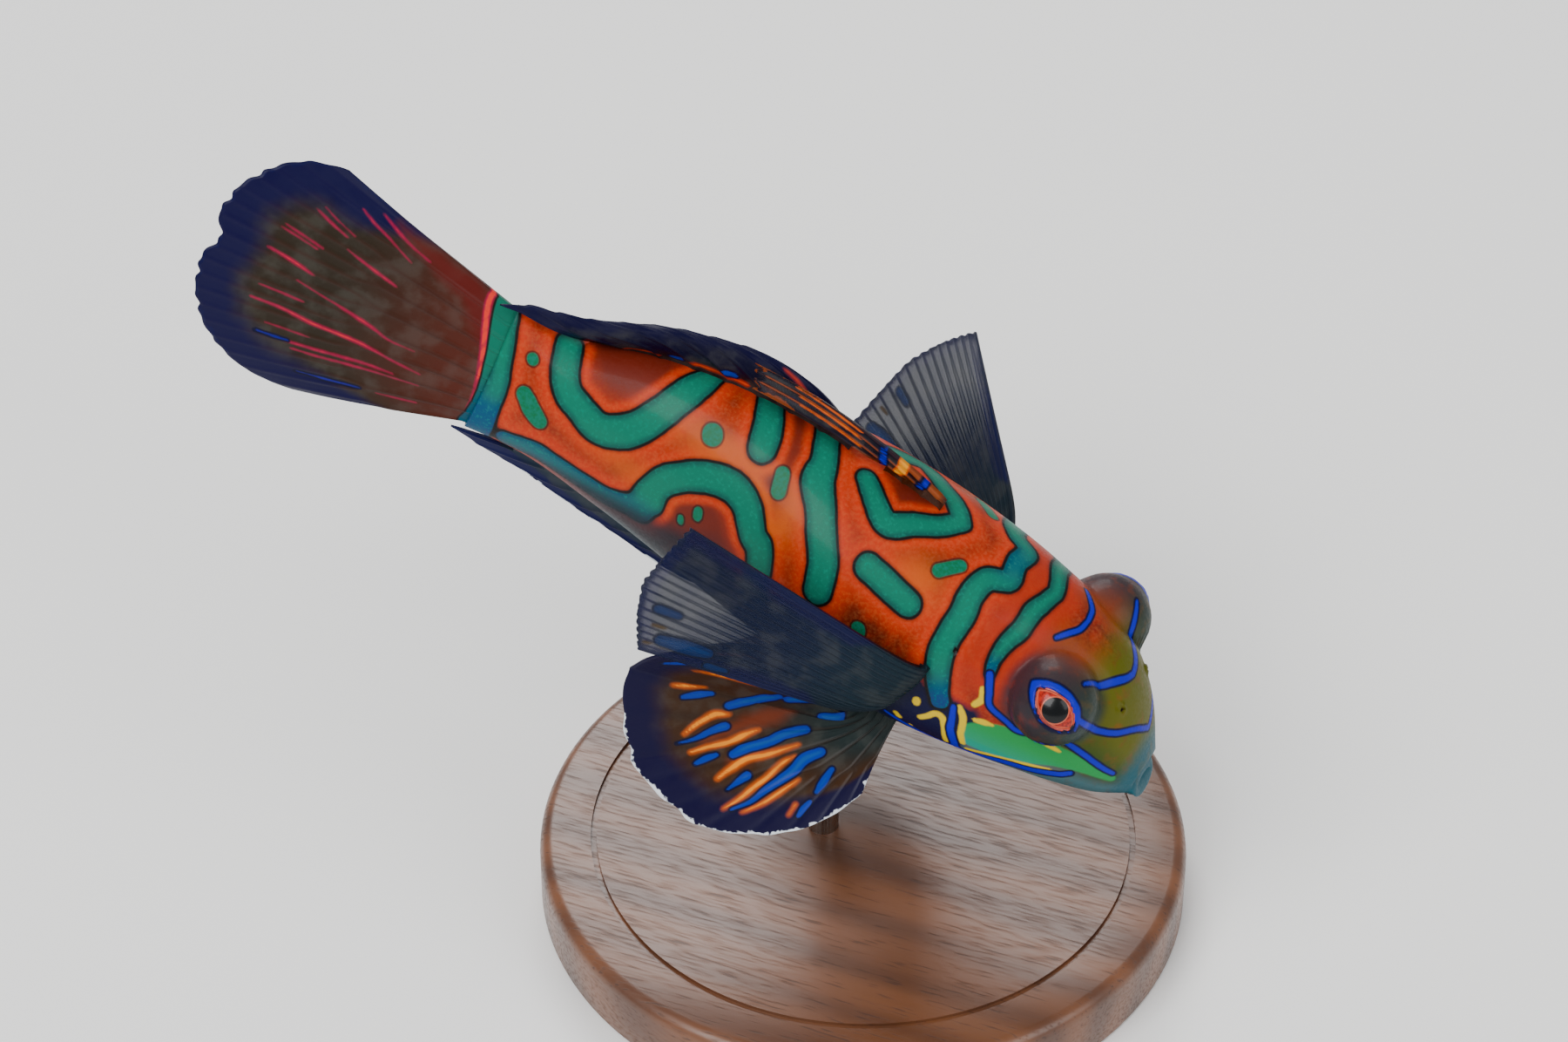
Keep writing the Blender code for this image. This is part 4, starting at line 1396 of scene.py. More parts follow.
@dataclass
class Fin:
    """A thin fin with rays raised on both faces, built over a surface.

    Its membrane, the ridges of its rays and the swell of its foot are thicknesses in mm. The widths of the
    rays and of their branches, and how far these stand apart, are shares of the pitch between rays. Its
    streaks are of four kinds: warm, cool, base and wash.
    """

    name: str
    node: str
    rays: int
    surface: Surface
    inward: Callable[[Array], Array]
    finish: FinFinish
    slot: str = "dark_fins"
    branch_at: float = 2.0
    notch: float = 0.03
    swell: float = 0.0
    membrane: float = 0.26
    tip_share: float = 0.4
    ridge: float = 0.2
    ridge_fade: float = 0.75
    ray_width: float = 0.11
    branch_width: float = 0.085
    branch_apart: float = 0.25
    columns_per_ray: int = 12
    rows: int = 64
    warm: tuple[Stroke, ...] = ()
    cool: tuple[Stroke, ...] = ()
    base: tuple[Stroke, ...] = ()
    wash: tuple[Stroke, ...] = ()

    def ray_relief(self, across: Array, along: Array) -> Array:
        """How much of a ray is at each place, with the rays split in two past branch_at.

        Args:
            across: places across the fin, counted in rays.
            along: places along it, 0 at its foot and 1 at its edge.

        Returns:
            One value from 0 to 1 for each place.
        """
        off = np.abs(across - np.round(across))
        branched = smoothstep(self.branch_at - 0.05, self.branch_at + 0.12, along)
        single = np.exp(-((off / self.ray_width) ** 2))
        double = np.exp(-(((off - self.branch_apart * branched) / self.branch_width) ** 2))
        return single * (1 - branched) + double * branched

    def build(self) -> Piece:
        """The fin as one closed piece, with what its material reads.

        Returns:
            The piece.
        """
        across, along = np.meshgrid(
            np.linspace(0, 1, (self.rays - 1) * self.columns_per_ray + 1),
            np.concatenate([(-1.0, -0.5), np.linspace(0, 1, self.rows)]),
        )
        pitch = across * (self.rays - 1)
        ray = self.ray_relief(pitch, along)
        folds = 2 if self.branch_at < 1 else 1
        scallop = self.notch * np.sin(math.pi * pitch * folds) ** 2 * (0.6 + 0.4 * np.sin(pitch * 5.3))
        inner = np.clip(along, 0, 1)
        points = self.surface(across, inner * (1 - scallop * inner**3))
        points += self.inward(across) * np.maximum(-along, 0)[..., None]
        piece = grid_piece(self.name, points)
        flat = points.reshape(-1, 3) / MM
        rim_line = np.concatenate([points[3:, 0], points[-1], points[:2:-1, -1]]) / MM
        store(piece, "across", across)
        store(piece, "along", along)
        store(piece, "ray", ray * (along > 0))
        store(piece, "rim", distance_to(flat, rim_line, np.zeros(len(rim_line))))
        for kind in ("warm", "cool", "base", "wash"):
            store(piece, kind, self.streak_gap(flat, getattr(self, kind)))
        thick = self.membrane * (1 - (1 - self.tip_share) * inner**3)
        thick += self.ridge * ray * (1 - self.ridge_fade * inner)
        thick += self.swell * (1 - np.abs(2 * across - 1) ** 3) * (1 - inner) ** 4
        self.thicken(piece, thick)
        piece.data.materials.append(self.finish.make())
        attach(piece, "root")
        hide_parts(self.node)
        return piece

    def streak_gap(self, places: Array, streaks: Sequence[Stroke]) -> Array:
        """How far places on the fin lie outside a set of its streaks.

        Args:
            places: the places in mm.
            streaks: the streaks.

        Returns:
            One distance in mm for each place.
        """
        gap = np.full(len(places), FAR)
        for streak in streaks:
            line = along_curve(streak.points, 8)
            track = self.surface(line[:, 0], line[:, 1]) / MM
            gap = np.minimum(gap, distance_to(places, track, line[:, 2]))
        return gap

    def thicken(self, piece: Piece, thick: Array) -> None:
        """Gives the fin its thickness on both sides of its middle, and closes it.

        Args:
            piece: the fin without thickness.
            thick: its thickness in mm at each point.
        """
        most = float(thick.max())
        group = piece.vertex_groups.new(name="thickness")
        for index, weight in enumerate((thick / most).ravel()):
            group.add([index], float(weight), "REPLACE")
        shell = piece.modifiers.new("shell", "SOLIDIFY")
        shell.thickness, shell.offset = most * MM, 0.0
        shell.vertex_group, shell.use_even_offset = group.name, False
        only(piece)
        bpy.ops.object.modifier_apply(modifier=shell.name)
        close_up(piece)
        piece.vertex_groups.clear()


TAIL_WARM = strokes(
    ((0.395, 0.81, 0.05), (0.39, 0.7, 0.1), (0.37, 0.6, 0.11), (0.36, 0.5, 0.11), (0.345, 0.4, 0.1),
     (0.31, 0.3, 0.06), (0.28, 0.2, 0.03)),
    ((0.255, 0.7, 0.05), (0.25, 0.59, 0.08), (0.25, 0.5, 0.08), (0.248, 0.4, 0.07), (0.235, 0.3, 0.04)),
    ((0.225, 0.68, 0.04), (0.218, 0.59, 0.06), (0.219, 0.5, 0.06), (0.218, 0.4, 0.06), (0.212, 0.3, 0.05),
     (0.205, 0.2, 0.03)),
    ((0.53, 0.7, 0.02), (0.503, 0.58, 0.03), (0.49, 0.52, 0.06), (0.47, 0.45, 0.1), (0.45, 0.39, 0.09),
     (0.418, 0.33, 0.05), (0.41, 0.24, 0.02)),
    ((0.605, 0.82, 0.05), (0.6, 0.77, 0.09), (0.59, 0.71, 0.1), (0.575, 0.655, 0.05)),
    ((0.712, 0.8, 0.03), (0.706, 0.73, 0.05), (0.697, 0.65, 0.04)),
    ((0.696, 0.8, 0.03), (0.69, 0.73, 0.05), (0.682, 0.66, 0.03)),
    ((0.822, 0.77, 0.03), (0.806, 0.7, 0.06), (0.788, 0.61, 0.03)),
    ((0.845, 0.76, 0.02), (0.83, 0.7, 0.03), (0.81, 0.6, 0.02)),
    ((0.745, 0.585, 0.03), (0.73, 0.52, 0.07), (0.717, 0.45, 0.09), (0.702, 0.375, 0.05)),
    ((0.455, 0.79, 0.03), (0.453, 0.71, 0.05), (0.448, 0.63, 0.03)),
    ((0.31, 0.757, 0.02), (0.305, 0.67, 0.04), (0.3, 0.595, 0.02)),
    ((0.925, 0.7, 0.03), (0.905, 0.62, 0.07), (0.885, 0.52, 0.04), (0.85, 0.4, 0.03)),
    ((0.96, 0.66, 0.03), (0.94, 0.56, 0.08), (0.92, 0.46, 0.06), (0.91, 0.36, 0.03)),
    ((0.09, 0.4, 0.02), (0.085, 0.32, 0.04), (0.08, 0.22, 0.03)),
    ((1.0, 0.112, 0.24), (0.75, 0.054, 0.22), (0.5, 0.019, 0.2), (0.25, 0.0, 0.18), (0.0, -0.003, 0.16)),
)
TAIL_COOL = strokes(
    ((0.12, 0.72, 0.02), (0.108, 0.58, 0.05), (0.102, 0.46, 0.02)),
    ((0.265, 0.8, 0.03), (0.26, 0.74, 0.05), (0.258, 0.68, 0.02)),
)
TAIL_BASE = strokes(
    ((1.04, 0.032, 0.62), (0.75, -0.01, 0.66), (0.5, -0.034, 0.7), (0.25, -0.046, 0.68), (0.0, -0.05, 0.66))
)
TAIL_WASH = strokes(
    ((0.97, 0.6, 0.0), (0.95, 0.46, 0.3), (0.93, 0.3, 0.55), (0.9, 0.14, 0.7), (0.7, 0.05, 0.4)),
)
PECTORAL_COOL = strokes(
    ((0.8, 0.7, 0.3), (0.82, 0.8, 0.42), (0.84, 0.9, 0.3)), ((0.6, 0.84, 0.2), (0.61, 0.92, 0.26)),
    ((0.93, 0.62, 0.16), (0.94, 0.7, 0.2)),
)
PECTORAL_WARM = strokes(
    ((0.88, 0.84, 0.12), (0.89, 0.9, 0.16)), ((0.9, 0.94, 0.1), (0.91, 0.97, 0.12)),
    ((0.72, 0.88, 0.1), (0.73, 0.93, 0.12)),
)
PELVIC_COOL = strokes(
    ((0.87, 0.07, 0.34), (0.85, 0.13, 0.36)),
    ((0.99, 0.28, 0.3), (0.93, 0.32, 0.38), (0.88, 0.345, 0.34)),
    ((0.87, 0.4, 0.28), (0.845, 0.42, 0.36), (0.81, 0.445, 0.36), (0.78, 0.49, 0.3), (0.757, 0.54, 0.24)),
    ((0.79, 0.62, 0.16), (0.775, 0.68, 0.22), (0.76, 0.74, 0.14)),
    ((0.95, 0.75, 0.08), (0.925, 0.74, 0.17), (0.9, 0.73, 0.1)),
    ((0.87, 0.82, 0.1), (0.852, 0.88, 0.16), (0.835, 0.93, 0.1)),
    ((0.63, 0.78, 0.05), (0.64, 0.7, 0.12), (0.66, 0.63, 0.2), (0.68, 0.56, 0.28)),
    ((0.565, 0.575, 0.22), (0.585, 0.49, 0.3), (0.6, 0.39, 0.32), (0.635, 0.31, 0.36), (0.66, 0.22, 0.28)),
    ((0.385, 0.82, 0.07), (0.375, 0.72, 0.12), (0.383, 0.63, 0.18), (0.4, 0.43, 0.3), (0.435, 0.33, 0.34),
     (0.43, 0.25, 0.28)),
    ((0.45, 0.73, 0.06), (0.46, 0.66, 0.16), (0.47, 0.6, 0.24)),
    ((0.56, 0.75, 0.1), (0.57, 0.69, 0.18), (0.575, 0.64, 0.12)),
    ((0.22, 0.82, 0.12), (0.225, 0.74, 0.18), (0.225, 0.68, 0.12)),
    ((0.235, 0.58, 0.12), (0.25, 0.47, 0.22), (0.27, 0.36, 0.14)),
)
PELVIC_WARM = strokes(
    ((0.655, 0.74, 0.12), (0.69, 0.67, 0.2), (0.72, 0.6, 0.22), (0.725, 0.54, 0.1)),
    ((0.6, 0.73, 0.14), (0.612, 0.64, 0.2), (0.62, 0.56, 0.22), (0.645, 0.48, 0.2), (0.665, 0.42, 0.1)),
    ((0.495, 0.72, 0.12), (0.515, 0.63, 0.2), (0.535, 0.535, 0.22), (0.53, 0.43, 0.18), (0.54, 0.29, 0.08)),
    ((0.4, 0.83, 0.08), (0.402, 0.74, 0.15), (0.418, 0.62, 0.18), (0.43, 0.535, 0.18), (0.465, 0.42, 0.14),
     (0.475, 0.35, 0.07)),
    ((0.36, 0.82, 0.07), (0.346, 0.7, 0.13), (0.345, 0.6, 0.15), (0.344, 0.48, 0.07)),
    ((0.25, 0.8, 0.08), (0.262, 0.7, 0.1)),
    ((0.787, 0.79, 0.1), (0.795, 0.73, 0.17), (0.807, 0.66, 0.1)),
    ((0.845, 0.8, 0.06), (0.86, 0.7, 0.16), (0.875, 0.59, 0.16), (0.895, 0.5, 0.08)),
    ((0.91, 0.9, 0.08), (0.935, 0.87, 0.16), (0.965, 0.84, 0.1)),
)
PELVIC_WASH = strokes(
    ((0.8, 0.27, 0.2), (0.755, 0.33, 0.45), (0.72, 0.4, 0.5), (0.69, 0.48, 0.4), (0.66, 0.56, 0.3),
     (0.64, 0.66, 0.2)),
    ((0.56, 0.4, 0.2), (0.55, 0.5, 0.35), (0.53, 0.6, 0.3)),
)
DORSAL_COOL = strokes(
    ((0.5, 0.07, 0.12), (0.455, 0.07, 0.18)), ((0.27, 0.06, 0.12), (0.22, 0.07, 0.24), (0.165, 0.06, 0.16)),
    ((0.7, 0.05, 0.12), (0.66, 0.05, 0.16)),
)
DORSAL_WARM = strokes(
    ((0.89, 0.02, 0.08), (0.82, 0.03, 0.16), (0.75, 0.03, 0.14)),
    ((0.63, 0.05, 0.1), (0.57, 0.03, 0.18), (0.5, 0.02, 0.14), (0.43, 0.0, 0.18)),
    ((0.345, 0.05, 0.14), (0.305, 0.05, 0.18)),
    ((0.13, 0.1, 0.05), (0.1, 0.35, 0.07), (0.08, 0.55, 0.04)),
)
SPINE_COOL = strokes(
    ((0.0, 0.12, 0.24), (0.4, 0.02, 0.24)), ((0.0, 0.35, 0.16), (0.45, 0.23, 0.2), (0.95, 0.05, 0.16)),
)
SPINE_WARM = strokes(
    ((0.0, 0.24, 0.34), (0.45, 0.12, 0.38), (0.8, 0.02, 0.2)),
    ((0.12, 0.44, 0.06), (0.12, 0.62, 0.05), (0.1, 0.8, 0.03)),
    ((0.42, 0.38, 0.06), (0.42, 0.56, 0.06), (0.4, 0.76, 0.03)),
    ((0.75, 0.28, 0.06), (0.72, 0.5, 0.05), (0.7, 0.72, 0.03)),
)


@dataclass
class TailFin:
    """The rounded tail fin, opened into a fan.

    Its rays are shortened by rounding and corner, each a share and the power with which it grows outward.
    upward makes the upper rays longer, and dip is where a shallow dip in the edge lies, its width and its
    depth.
    """

    form: FishForm
    length: float = 17.0 * MM
    opening: float = math.radians(15.5)
    root_half: float = 3.85 * MM
    root_height: float = 0.85 * MM
    into_body: float = 1.0 * MM
    curl: float = 1.2 * MM
    rounding: Pair = (0.33, 2.6)
    corner: Pair = (0.06, 16)
    upward: Pair = (0.05, 0.03)
    dip: Triple = (0.12, 0.11, 0.04)
    upturn: float = 3.5

    def surface(self, across: Array, along: Array) -> Array:
        """The middle of the fin in the room.

        Args:
            across: places across the fin, 0 at its lower side and 1 at its upper one.
            along: places along it, 0 at its foot and 1 at its edge.

        Returns:
            A point for each place.
        """
        spread = 2 * across - 1
        upper = np.maximum(spread, 0) ** 2
        dip_at, dip_width, dip_depth = self.dip
        share = 1 + self.upward[0] * spread + self.upward[1] * upper
        share -= dip_depth * np.exp(-(((spread - dip_at) / dip_width) ** 2))
        for size, power in (self.rounding, self.corner):
            share -= size * np.abs(spread) ** power
        ray = self.length * share * along
        angle = self.opening * spread + np.radians(self.upturn + upper)
        rise = self.root_height + self.root_half * spread + ray * np.sin(angle)
        station = self.form.standard_length + GAP + ray * np.cos(angle)
        return self.form.place(station, self.curl * (spread**2 - 0.4) * along**2, rise)

    def inward(self, across: Array) -> Array:
        """The step from the fin's foot into the body."""
        ahead = -self.form.direction(self.form.standard_length, 1.0, 0.0, 0.0)
        return ahead * self.into_body * np.ones((*across.shape, 1))

    def build(self) -> Piece:
        """The dressed fin.

        Returns:
            The piece.
        """
        finish = FinFinish(
            "tail_membrane", screen(36, 28, 18), screen(70, 24, 12), screen(2, 0, 50), 2.3,
            screen(50, 24, 16), edge=screen(4, 4, 54), warm=screen(136, 12, 54),
            warm_light=screen(206, 44, 34), warm_soft=0.09,
            cool=screen(20, 16, 120), cool_light=screen(28, 24, 140), wash=screen(82, 18, 14),
            root_reach=(0.0, 0.6), margin_from=(0.35, 0.7),
        )
        return Fin(
            "tail_fin", "caudal_fin", 10, self.surface, self.inward, finish, branch_at=0.42, notch=0.014,
            swell=1.4, columns_per_ray=22, warm=TAIL_WARM, cool=TAIL_COOL, base=TAIL_BASE, wash=TAIL_WASH,
        ).build()


@dataclass
class FoldedFin:
    """A middle fin folded back along the body, each pair for its first and its last ray.

    base is where the rays grow from the body, reach how far back they go, rise how high and how much higher
    between the two, and stand_off how far their foot stands from the skin, all in mm. lean is how far they
    lean over, and fold how far they lie round the body, both in degrees.
    """

    form: FishForm
    name: str
    node: str
    base: Pair
    reach: Pair
    rise: tuple[float, float, float]
    lean: Pair
    fold: Pair
    rays: int
    finish: FinFinish
    down: bool = False
    stand_off: Pair = (0.5, 0.5)
    into_body: float = 1.1 * MM
    streaks: dict[str, tuple[Stroke, ...]] = field(default_factory=dict)

    def upward(self, across: Array, station: Array) -> Array:
        """The way that the fin stands away from the body.

        Args:
            across: places across the fin, 0 at its first ray and 1 at its last.
            station: their stations.

        Returns:
            A direction in the room for each place.
        """
        tilt = np.radians(self.lean[0] + (self.lean[1] - self.lean[0]) * across)
        way = -1 if self.down else 1
        return self.form.direction(station, np.zeros_like(tilt), np.sin(tilt), way * np.cos(tilt))

    def surface(self, across: Array, along: Array) -> Array:
        """The middle of the fin in the room.

        Args:
            across: places across the fin, 0 at its first ray and 1 at its last.
            along: places along its rays, 0 at the foot and 1 at the tip.

        Returns:
            A point for each place.
        """
        base, reach, proud, fold = (
            first + (last - first) * share
            for (first, last), share in (
                (self.base, across), (self.reach, across), (self.stand_off, across), (self.fold, across**2),
            )
        )
        station = (base + reach * along) * MM
        turn = fold * (1 - (1 - along) ** 2)
        root = self.form.skin(station, (180 if self.down else 0) + turn, proud * MM)
        first, last, bulge = self.rise
        height = first + (last - first) * across + bulge * np.sin(math.pi * across**1.6)
        return root + self.upward(across, station) * (height * (1 - (1 - along) ** 3) * MM)[..., None]

    def inward(self, across: Array) -> Array:
        """The step from the fin's foot into the body."""
        station = (self.base[0] + (self.base[1] - self.base[0]) * across) * MM
        return -self.upward(across, station) * self.into_body

    def build(self) -> Piece:
        """The dressed fin."""
        return Fin(
            self.name, self.node, self.rays, self.surface, self.inward, self.finish, notch=0.05, rows=28,
            ridge=0.24, **self.streaks,
        ).build()


@dataclass
class FanFin:
    """A paired fin on its fleshy base.

    root is the station in mm and the angle of its first and of its last ray. aims are the ways back, outward
    and up that rays go, and reach their lengths in mm, both for rays at even distances across the fin.
    """

    form: FishForm
    side: Side
    kind: str
    root: tuple[Pair, Pair]
    aims: Rows
    reach: tuple[float, ...]
    rays: int
    finish: FinFinish
    slot: str
    lift: float = 0.8 * MM
    bow: float = 0.6 * MM
    bow_aim: Pair = (0.6, 0.8)
    stand_off: float = GAP + 0.35 * MM
    into_body: float = 1.2 * MM
    branch_at: float = 2.0
    notch: float = 0.03
    columns: int = 12
    streaks: dict[str, tuple[Stroke, ...]] = field(default_factory=dict)

    def foot(self, across: Array) -> tuple[Array, Array]:
        """The fin's foot on the body.

        Args:
            across: places across the fin, 0 at its first ray and 1 at its last.

        Returns:
            Their stations and their angles from the middle of the back.
        """
        (first, first_angle), (last, last_angle) = self.root
        degrees = first_angle + (last_angle - first_angle) * across
        return (first + (last - first) * across) * MM, self.side.hand * degrees

    def surface(self, across: Array, along: Array) -> Array:
        """The middle of the fin in the room.

        Args:
            across: places across the fin, 0 at its first ray and 1 at its last.
            along: places along its rays, 0 at the foot and 1 at the edge.

        Returns:
            A point for each place.
        """
        station, degrees = self.foot(across)
        spots, marks = np.linspace(0, 1, len(self.aims)), np.linspace(0, 1, len(self.reach))
        back, out, up = (np.interp(across, spots, [aim[k] for aim in self.aims]) for k in range(3))
        ray = np.interp(across, marks, self.reach) * along * MM
        hand, (aside, upward), none = self.side.hand, self.bow_aim, np.zeros_like(across)
        heading = self.form.direction(station, back, hand * out, up)
        bowed = self.bow * along**2 * (1 - 0.5 * (2 * across - 1) ** 2)
        lifted = self.form.outward(station, degrees) * (self.lift * (1 - np.exp(-ray / self.lift)))[..., None]
        over = self.form.direction(station, none, none + hand * aside, upward)
        foot = self.form.skin(station, degrees, self.stand_off)
        return foot + lifted + heading * ray[..., None] + over * bowed[..., None]

    def inward(self, across: Array) -> Array:
        """The step from the fin's foot into the body."""
        return -self.form.outward(*self.foot(across)) * self.into_body

    def build(self) -> Piece:
        """The dressed fin."""
        return Fin(
            f"{self.kind}_{self.side.value}", f"{self.kind}_fin_{self.side.value}", self.rays, self.surface,
            self.inward, self.finish, slot=self.slot, branch_at=self.branch_at, notch=self.notch, swell=0.6,
            columns_per_ray=self.columns, **self.streaks,
        ).build()


@dataclass
class Fins:
    """All of the fish's fins."""

    form: FishForm
    pectoral_root: tuple[Pair, Pair] = ((13.9, 70), (15.4, 100))
    pelvic_root: tuple[Pair, Pair] = ((13.6, 150), (16.2, 138))
    pectoral_aims: dict[Side, Rows] = field(default_factory=lambda: {
        Side.RIGHT: ((0.95, 0.26, 0.22), (0.93, 0.33, 0.13), (0.89, 0.44, 0.05)),
        Side.LEFT: ((0.61, 0.78, 0.08), (0.66, 0.73, -0.14), (0.7, 0.6, -0.38)),
    })
    pectoral_reach: dict[Side, tuple[float, ...]] = field(default_factory=lambda: {
        Side.RIGHT: (15.6, 15.6, 13.6), Side.LEFT: (13.2, 14.6, 14.0),
    })
    pelvic_aims: Rows = ((-0.2, 0.62, -0.74), (0.12, 0.63, -0.77), (0.46, 0.56, -0.68), (0.74, 0.44, -0.5),
                         (0.9, 0.35, -0.1), (0.62, 0.45, 0.64))
    pelvic_reach: tuple[float, ...] = (3.6, 7.5, 11.2, 13.0, 13.0, 8.6)

    def fans(self) -> list[FanFin]:
        """The two pectoral and the two pelvic fins.

        Returns:
            The fins, a pectoral and a pelvic one for each side in turn.
        """
        clear = FinFinish(
            "clear_membrane", screen(6, 18, 44), screen(8, 30, 40), screen(6, 10, 50), 0.8, screen(2, 6, 22),
            edge=screen(10, 16, 44), clear=0.7, warm=screen(56, 40, 12), warm_light=screen(70, 52, 18),
            cool=screen(0, 26, 66), cool_light=screen(0, 34, 78), halo=screen(4, 12, 34),
        )
        dark = FinFinish(
            "pelvic_membrane", screen(50, 28, 10), screen(22, 34, 34), screen(2, 0, 44), 2.1,
            screen(34, 20, 12), root_reach=(0.1, 0.5), margin_from=(0.4, 0.7), warm_soft=0.2,
            wash=screen(104, 40, 14), edge_until=0.68, edge_width=0.08,
        )
        made = []
        for side in Side:
            made.append(FanFin(
                self.form, side, "pectoral", self.pectoral_root, self.pectoral_aims[side],
                self.pectoral_reach[side], 18, clear, "clear_fins", notch=0.008,
                streaks={"warm": PECTORAL_WARM, "cool": PECTORAL_COOL},
            ))
            made.append(FanFin(
                self.form, side, "pelvic", self.pelvic_root, self.pelvic_aims, self.pelvic_reach, 7, dark,
                "dark_fins", branch_at=0.35, notch=0.02, columns=30,
                streaks={"warm": PELVIC_WARM, "cool": PELVIC_COOL, "wash": PELVIC_WASH},
            ))
        return made

    def middle_fins(self) -> list[FoldedFin]:
        """The two dorsal fins and the anal fin.

        Returns:
            The fins in that order.
        """
        dark = FinFinish(
            "dorsal_membrane", screen(2, 0, 30), screen(30, 12, 14), screen(2, 0, 40), 0.6, screen(6, 4, 26),
            edge=screen(4, 4, 44), warm=screen(160, 38, 14), warm_light=screen(196, 60, 26),
            root_reach=(0.02, 0.2),
        )
        spines = FinFinish(
            "spine_membrane", screen(12, 8, 22), screen(60, 26, 8), screen(10, 8, 24), 0.2,
            screen(168, 74, 14), edge=screen(110, 46, 10), warm=screen(190, 76, 2),
            warm_light=screen(220, 140, 4), warm_soft=0.05, cool=screen(0, 10, 150),
            cool_light=screen(0, 20, 170), root_reach=(0.0, 0.2), clear=0.62,
        )
        below = FinFinish(
            "anal_membrane", screen(4, 14, 52), screen(12, 34, 46), screen(4, 8, 60), 0.8, screen(6, 8, 36),
            root_reach=(0.0, 0.4), edge_width=0.07, edge_until=0.7,
        )
        return [
            FoldedFin(
                self.form, "first_dorsal", "dorsal_fin_first", base=(18, 21.8), reach=(12.8, 8.5),
                rise=(1.8, 0.8, 0), lean=(5, -5), fold=(-9, -15), rays=4, finish=spines,
                streaks={"warm": SPINE_WARM, "cool": SPINE_COOL},
            ),
            FoldedFin(
                self.form, "second_dorsal", "dorsal_fin_second", base=(24, 39.2), reach=(7.6, 5.4),
                rise=(1.8, 0.85, 0.5), lean=(16, -24), fold=(0, -38), rays=9, finish=dark,
                stand_off=(0.5, 0.2), streaks={"warm": DORSAL_WARM, "cool": DORSAL_COOL},
            ),
            FoldedFin(
                self.form, "anal", "anal_fin", base=(25.5, 40.4), reach=(6.0, 3.8),
                rise=(1.2, 0.15, 0.7), lean=(20, 20), fold=(0, 0), rays=8, finish=below,
                down=True, stand_off=(0.5, 0.2),
            ),
        ]


# Stand and studio


@dataclass
class Stand:
    """A turned walnut base and an upright steel rod.

    held_by is how deep the rod stands in the base and in the belly.
    """

    form: FishForm
    base_radius: float = 19 * MM
    base_thickness: float = 4 * MM
    base_sides: int = 160
    base_bevel: float = 0.8 * MM
    foot_bevel: float = 0.25 * MM
    groove_inset: float = 2.2 * MM
    groove_width: float = 0.35 * MM
    groove_depth: float = 0.2 * MM
    rod_radius: float = 0.9 * MM
    rod_sides: int = 40
    rod_bevel: float = 0.12 * MM
    held_by: Pair = (0.4 * MM, 0.3 * MM)
    level: float = 1e-6
    smooth_angle: float = math.radians(35)

    def cylinder(self, name: str, radius: float, foot: Vector, height: float, sides: int) -> Piece:
        """An upright cylinder, left in edit mode.

        Args:
            name: its name.
            radius: its radius.
            foot: the middle of its lower end.
            height: its height.
            sides: how many sides it has.

        Returns:
            The piece.
        """
        bpy.ops.object.select_all(action="DESELECT")
        bpy.ops.mesh.primitive_cylinder_add(
            vertices=sides, radius=radius, depth=height, location=foot + Vector((0, 0, height / 2))
        )
        piece = named(name)
        bpy.ops.object.transform_apply(location=True, rotation=True, scale=True)
        bpy.ops.object.mode_set(mode="EDIT")
        return piece

    def base(self) -> Piece:
        """The base, with a rounded rim and a fine turned groove.

        Returns:
            The piece.
        """
        piece = self.cylinder("walnut_base", self.base_radius, Vector(), self.base_thickness, self.base_sides)
        top = self.base_thickness - self.level
        choose(piece, Pick.EDGES, lambda a, b: a.z > top and b.z > top)
        bpy.ops.mesh.bevel(offset=self.base_bevel, segments=6, profile=0.5, affect="EDGES")
        choose(piece, Pick.EDGES, lambda a, b: a.z < self.level and b.z < self.level)
        bpy.ops.mesh.bevel(offset=self.foot_bevel, segments=2, profile=0.5, affect="EDGES")
        choose(piece, Pick.FACES, lambda middle, normal: middle.z > top and middle.xy.length < MM)
        bpy.ops.mesh.inset(thickness=self.groove_inset)
        bpy.ops.mesh.extrude_region_move(TRANSFORM_OT_translate={"value": (0, 0, -self.groove_depth)})
        bpy.ops.mesh.inset(thickness=self.groove_width)
        bpy.ops.mesh.extrude_region_move(TRANSFORM_OT_translate={"value": (0, 0, self.groove_depth)})
        bpy.ops.object.mode_set(mode="OBJECT")
        bpy.ops.object.shade_smooth_by_angle(angle=self.smooth_angle)
        piece.data.materials.append(WalnutFinish().make())
        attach(piece, "root")
        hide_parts("stand_base")
        return piece

    def rod(self) -> Piece:
        """The rod, from the base into the belly.

        Returns:
            The piece.
        """
        belly = self.form.skin(self.form.held_station, 180.0)
        foot, head = self.base_thickness - self.held_by[0], float(belly[2]) + self.held_by[1]
        below = Vector((float(belly[0]), float(belly[1]), foot))
        piece = self.cylinder("steel_rod", self.rod_radius, below, head - foot, self.rod_sides)
        choose(piece, Pick.EDGES, lambda a, b: abs(a.z - b.z) < self.level)
        bpy.ops.mesh.bevel(offset=self.rod_bevel, segments=2, profile=0.5, affect="EDGES")
        bpy.ops.object.mode_set(mode="OBJECT")
        bpy.ops.object.shade_smooth_by_angle(angle=self.smooth_angle)
        piece.data.materials.append(SteelFinish().make())
        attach(piece, "root")
        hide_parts("stand_rod")
        return piece


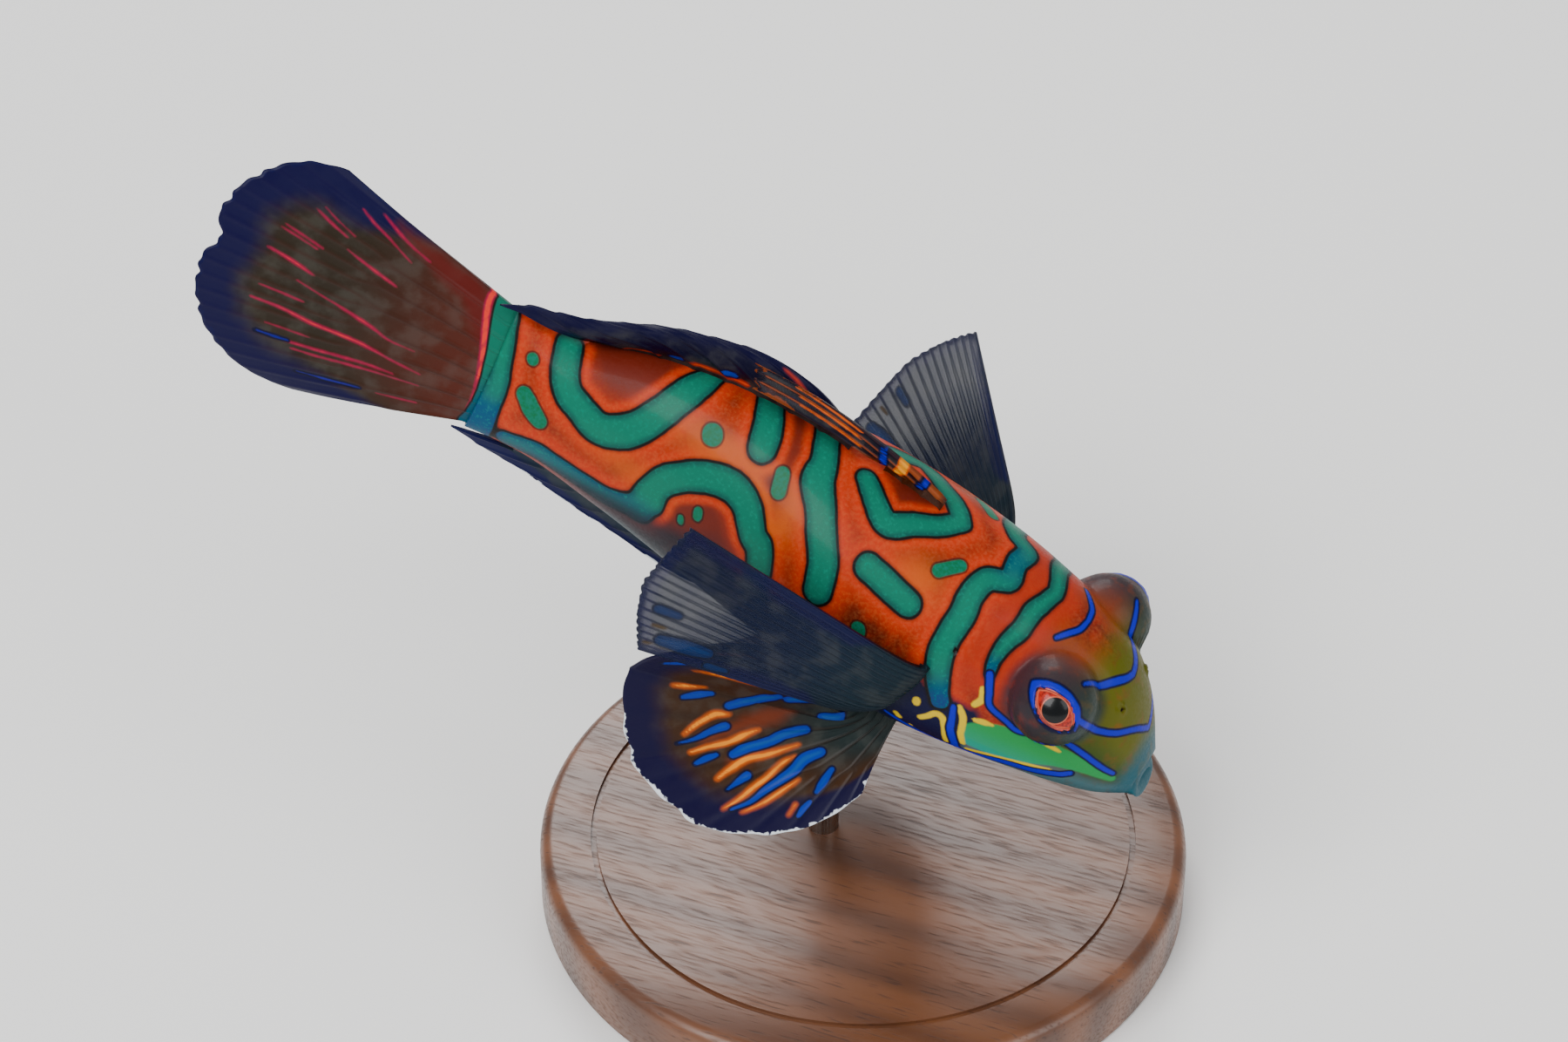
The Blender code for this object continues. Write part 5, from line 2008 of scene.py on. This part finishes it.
@dataclass
class Studio:
    """A pale floor, soft lights and the camera.

    A lamp is its name, its place in the room, the side of its square and its power.
    """

    eye: Triple = (0.0684623, -0.1818575, 0.1907417)
    target: Triple = (-0.0050008, -0.00003, 0.0261881)
    lens: float = 105.0
    sensor_width: float = 36.0
    clip_start: float = 0.005
    floor_size: float = 3.0
    lamps: tuple[tuple[str, Triple, float, float], ...] = (
        ("key", (-0.1, -0.34, 0.42), 0.34, 3.0),
        ("fill", (0.42, -0.1, 0.3), 0.34, 1.2),
        ("back", (-0.2, 0.36, 0.34), 0.26, 1.6),
    )
    sky: Colour = (0.92, 0.95, 1.0, 1.0)
    sky_strength: float = 0.45

    def floor(self) -> Piece:
        """The floor.

        Returns:
            The piece.
        """
        bpy.ops.object.select_all(action="DESELECT")
        bpy.ops.mesh.primitive_plane_add(size=self.floor_size)
        piece = named("studio_floor", False)
        piece.data.materials.append(FloorFinish().make())
        return piece

    def aim(self, name: str, data: Union[bpy.types.Light, bpy.types.Camera], place: Triple) -> Piece:
        """Puts a lamp or a camera in the room, facing the fish.

        Args:
            name: its name.
            data: the lamp or the camera.
            place: where it stands.

        Returns:
            What holds it.
        """
        holder = bpy.data.objects.new(name, data)
        bpy.context.scene.collection.objects.link(holder)
        holder.location = place
        holder.rotation_euler = (Vector(self.target) - Vector(place)).to_track_quat("-Z", "Y").to_euler()
        return holder

    def build(self) -> None:
        """The floor, the lamps, the surrounding light and the camera."""
        self.floor()
        for name, place, size, power in self.lamps:
            lamp = bpy.data.lights.new(name, "AREA")
            lamp.size, lamp.energy = size, power
            self.aim(name, lamp, place)
        world = bpy.data.worlds.new("studio")
        world.use_nodes = True
        sky = world.node_tree.nodes["Background"].inputs
        sky["Color"].default_value, sky["Strength"].default_value = self.sky, self.sky_strength
        bpy.context.scene.world = world
        lens = bpy.data.cameras.new("camera")
        lens.lens, lens.sensor_width, lens.clip_start = self.lens, self.sensor_width, self.clip_start
        bpy.context.scene.camera = self.aim("camera", lens, self.eye)


def main() -> None:
    """Builds the fish, its stand and the studio, and reports each piece."""
    logging.basicConfig(level=logging.INFO, format="%(message)s")
    form, opening = FishForm(), EyeOpening()
    made = [Skin(form, opening).build()]
    for side in Side:
        eye = Eye(form, opening, side)
        made += [eye.ball(), eye.lid_edge()]
    fins = Fins(form)
    made.append(TailFin(form).build())
    made += [fin.build() for fin in fins.middle_fins()]
    made += [fin.build() for fin in fins.fans()]
    stand = Stand(form)
    made += [stand.base(), stand.rod()]
    for piece in made:
        log.info("%s: %d faces", piece.name, len(piece.data.polygons))
    Studio().build()


if __name__ == "__main__":
    main()
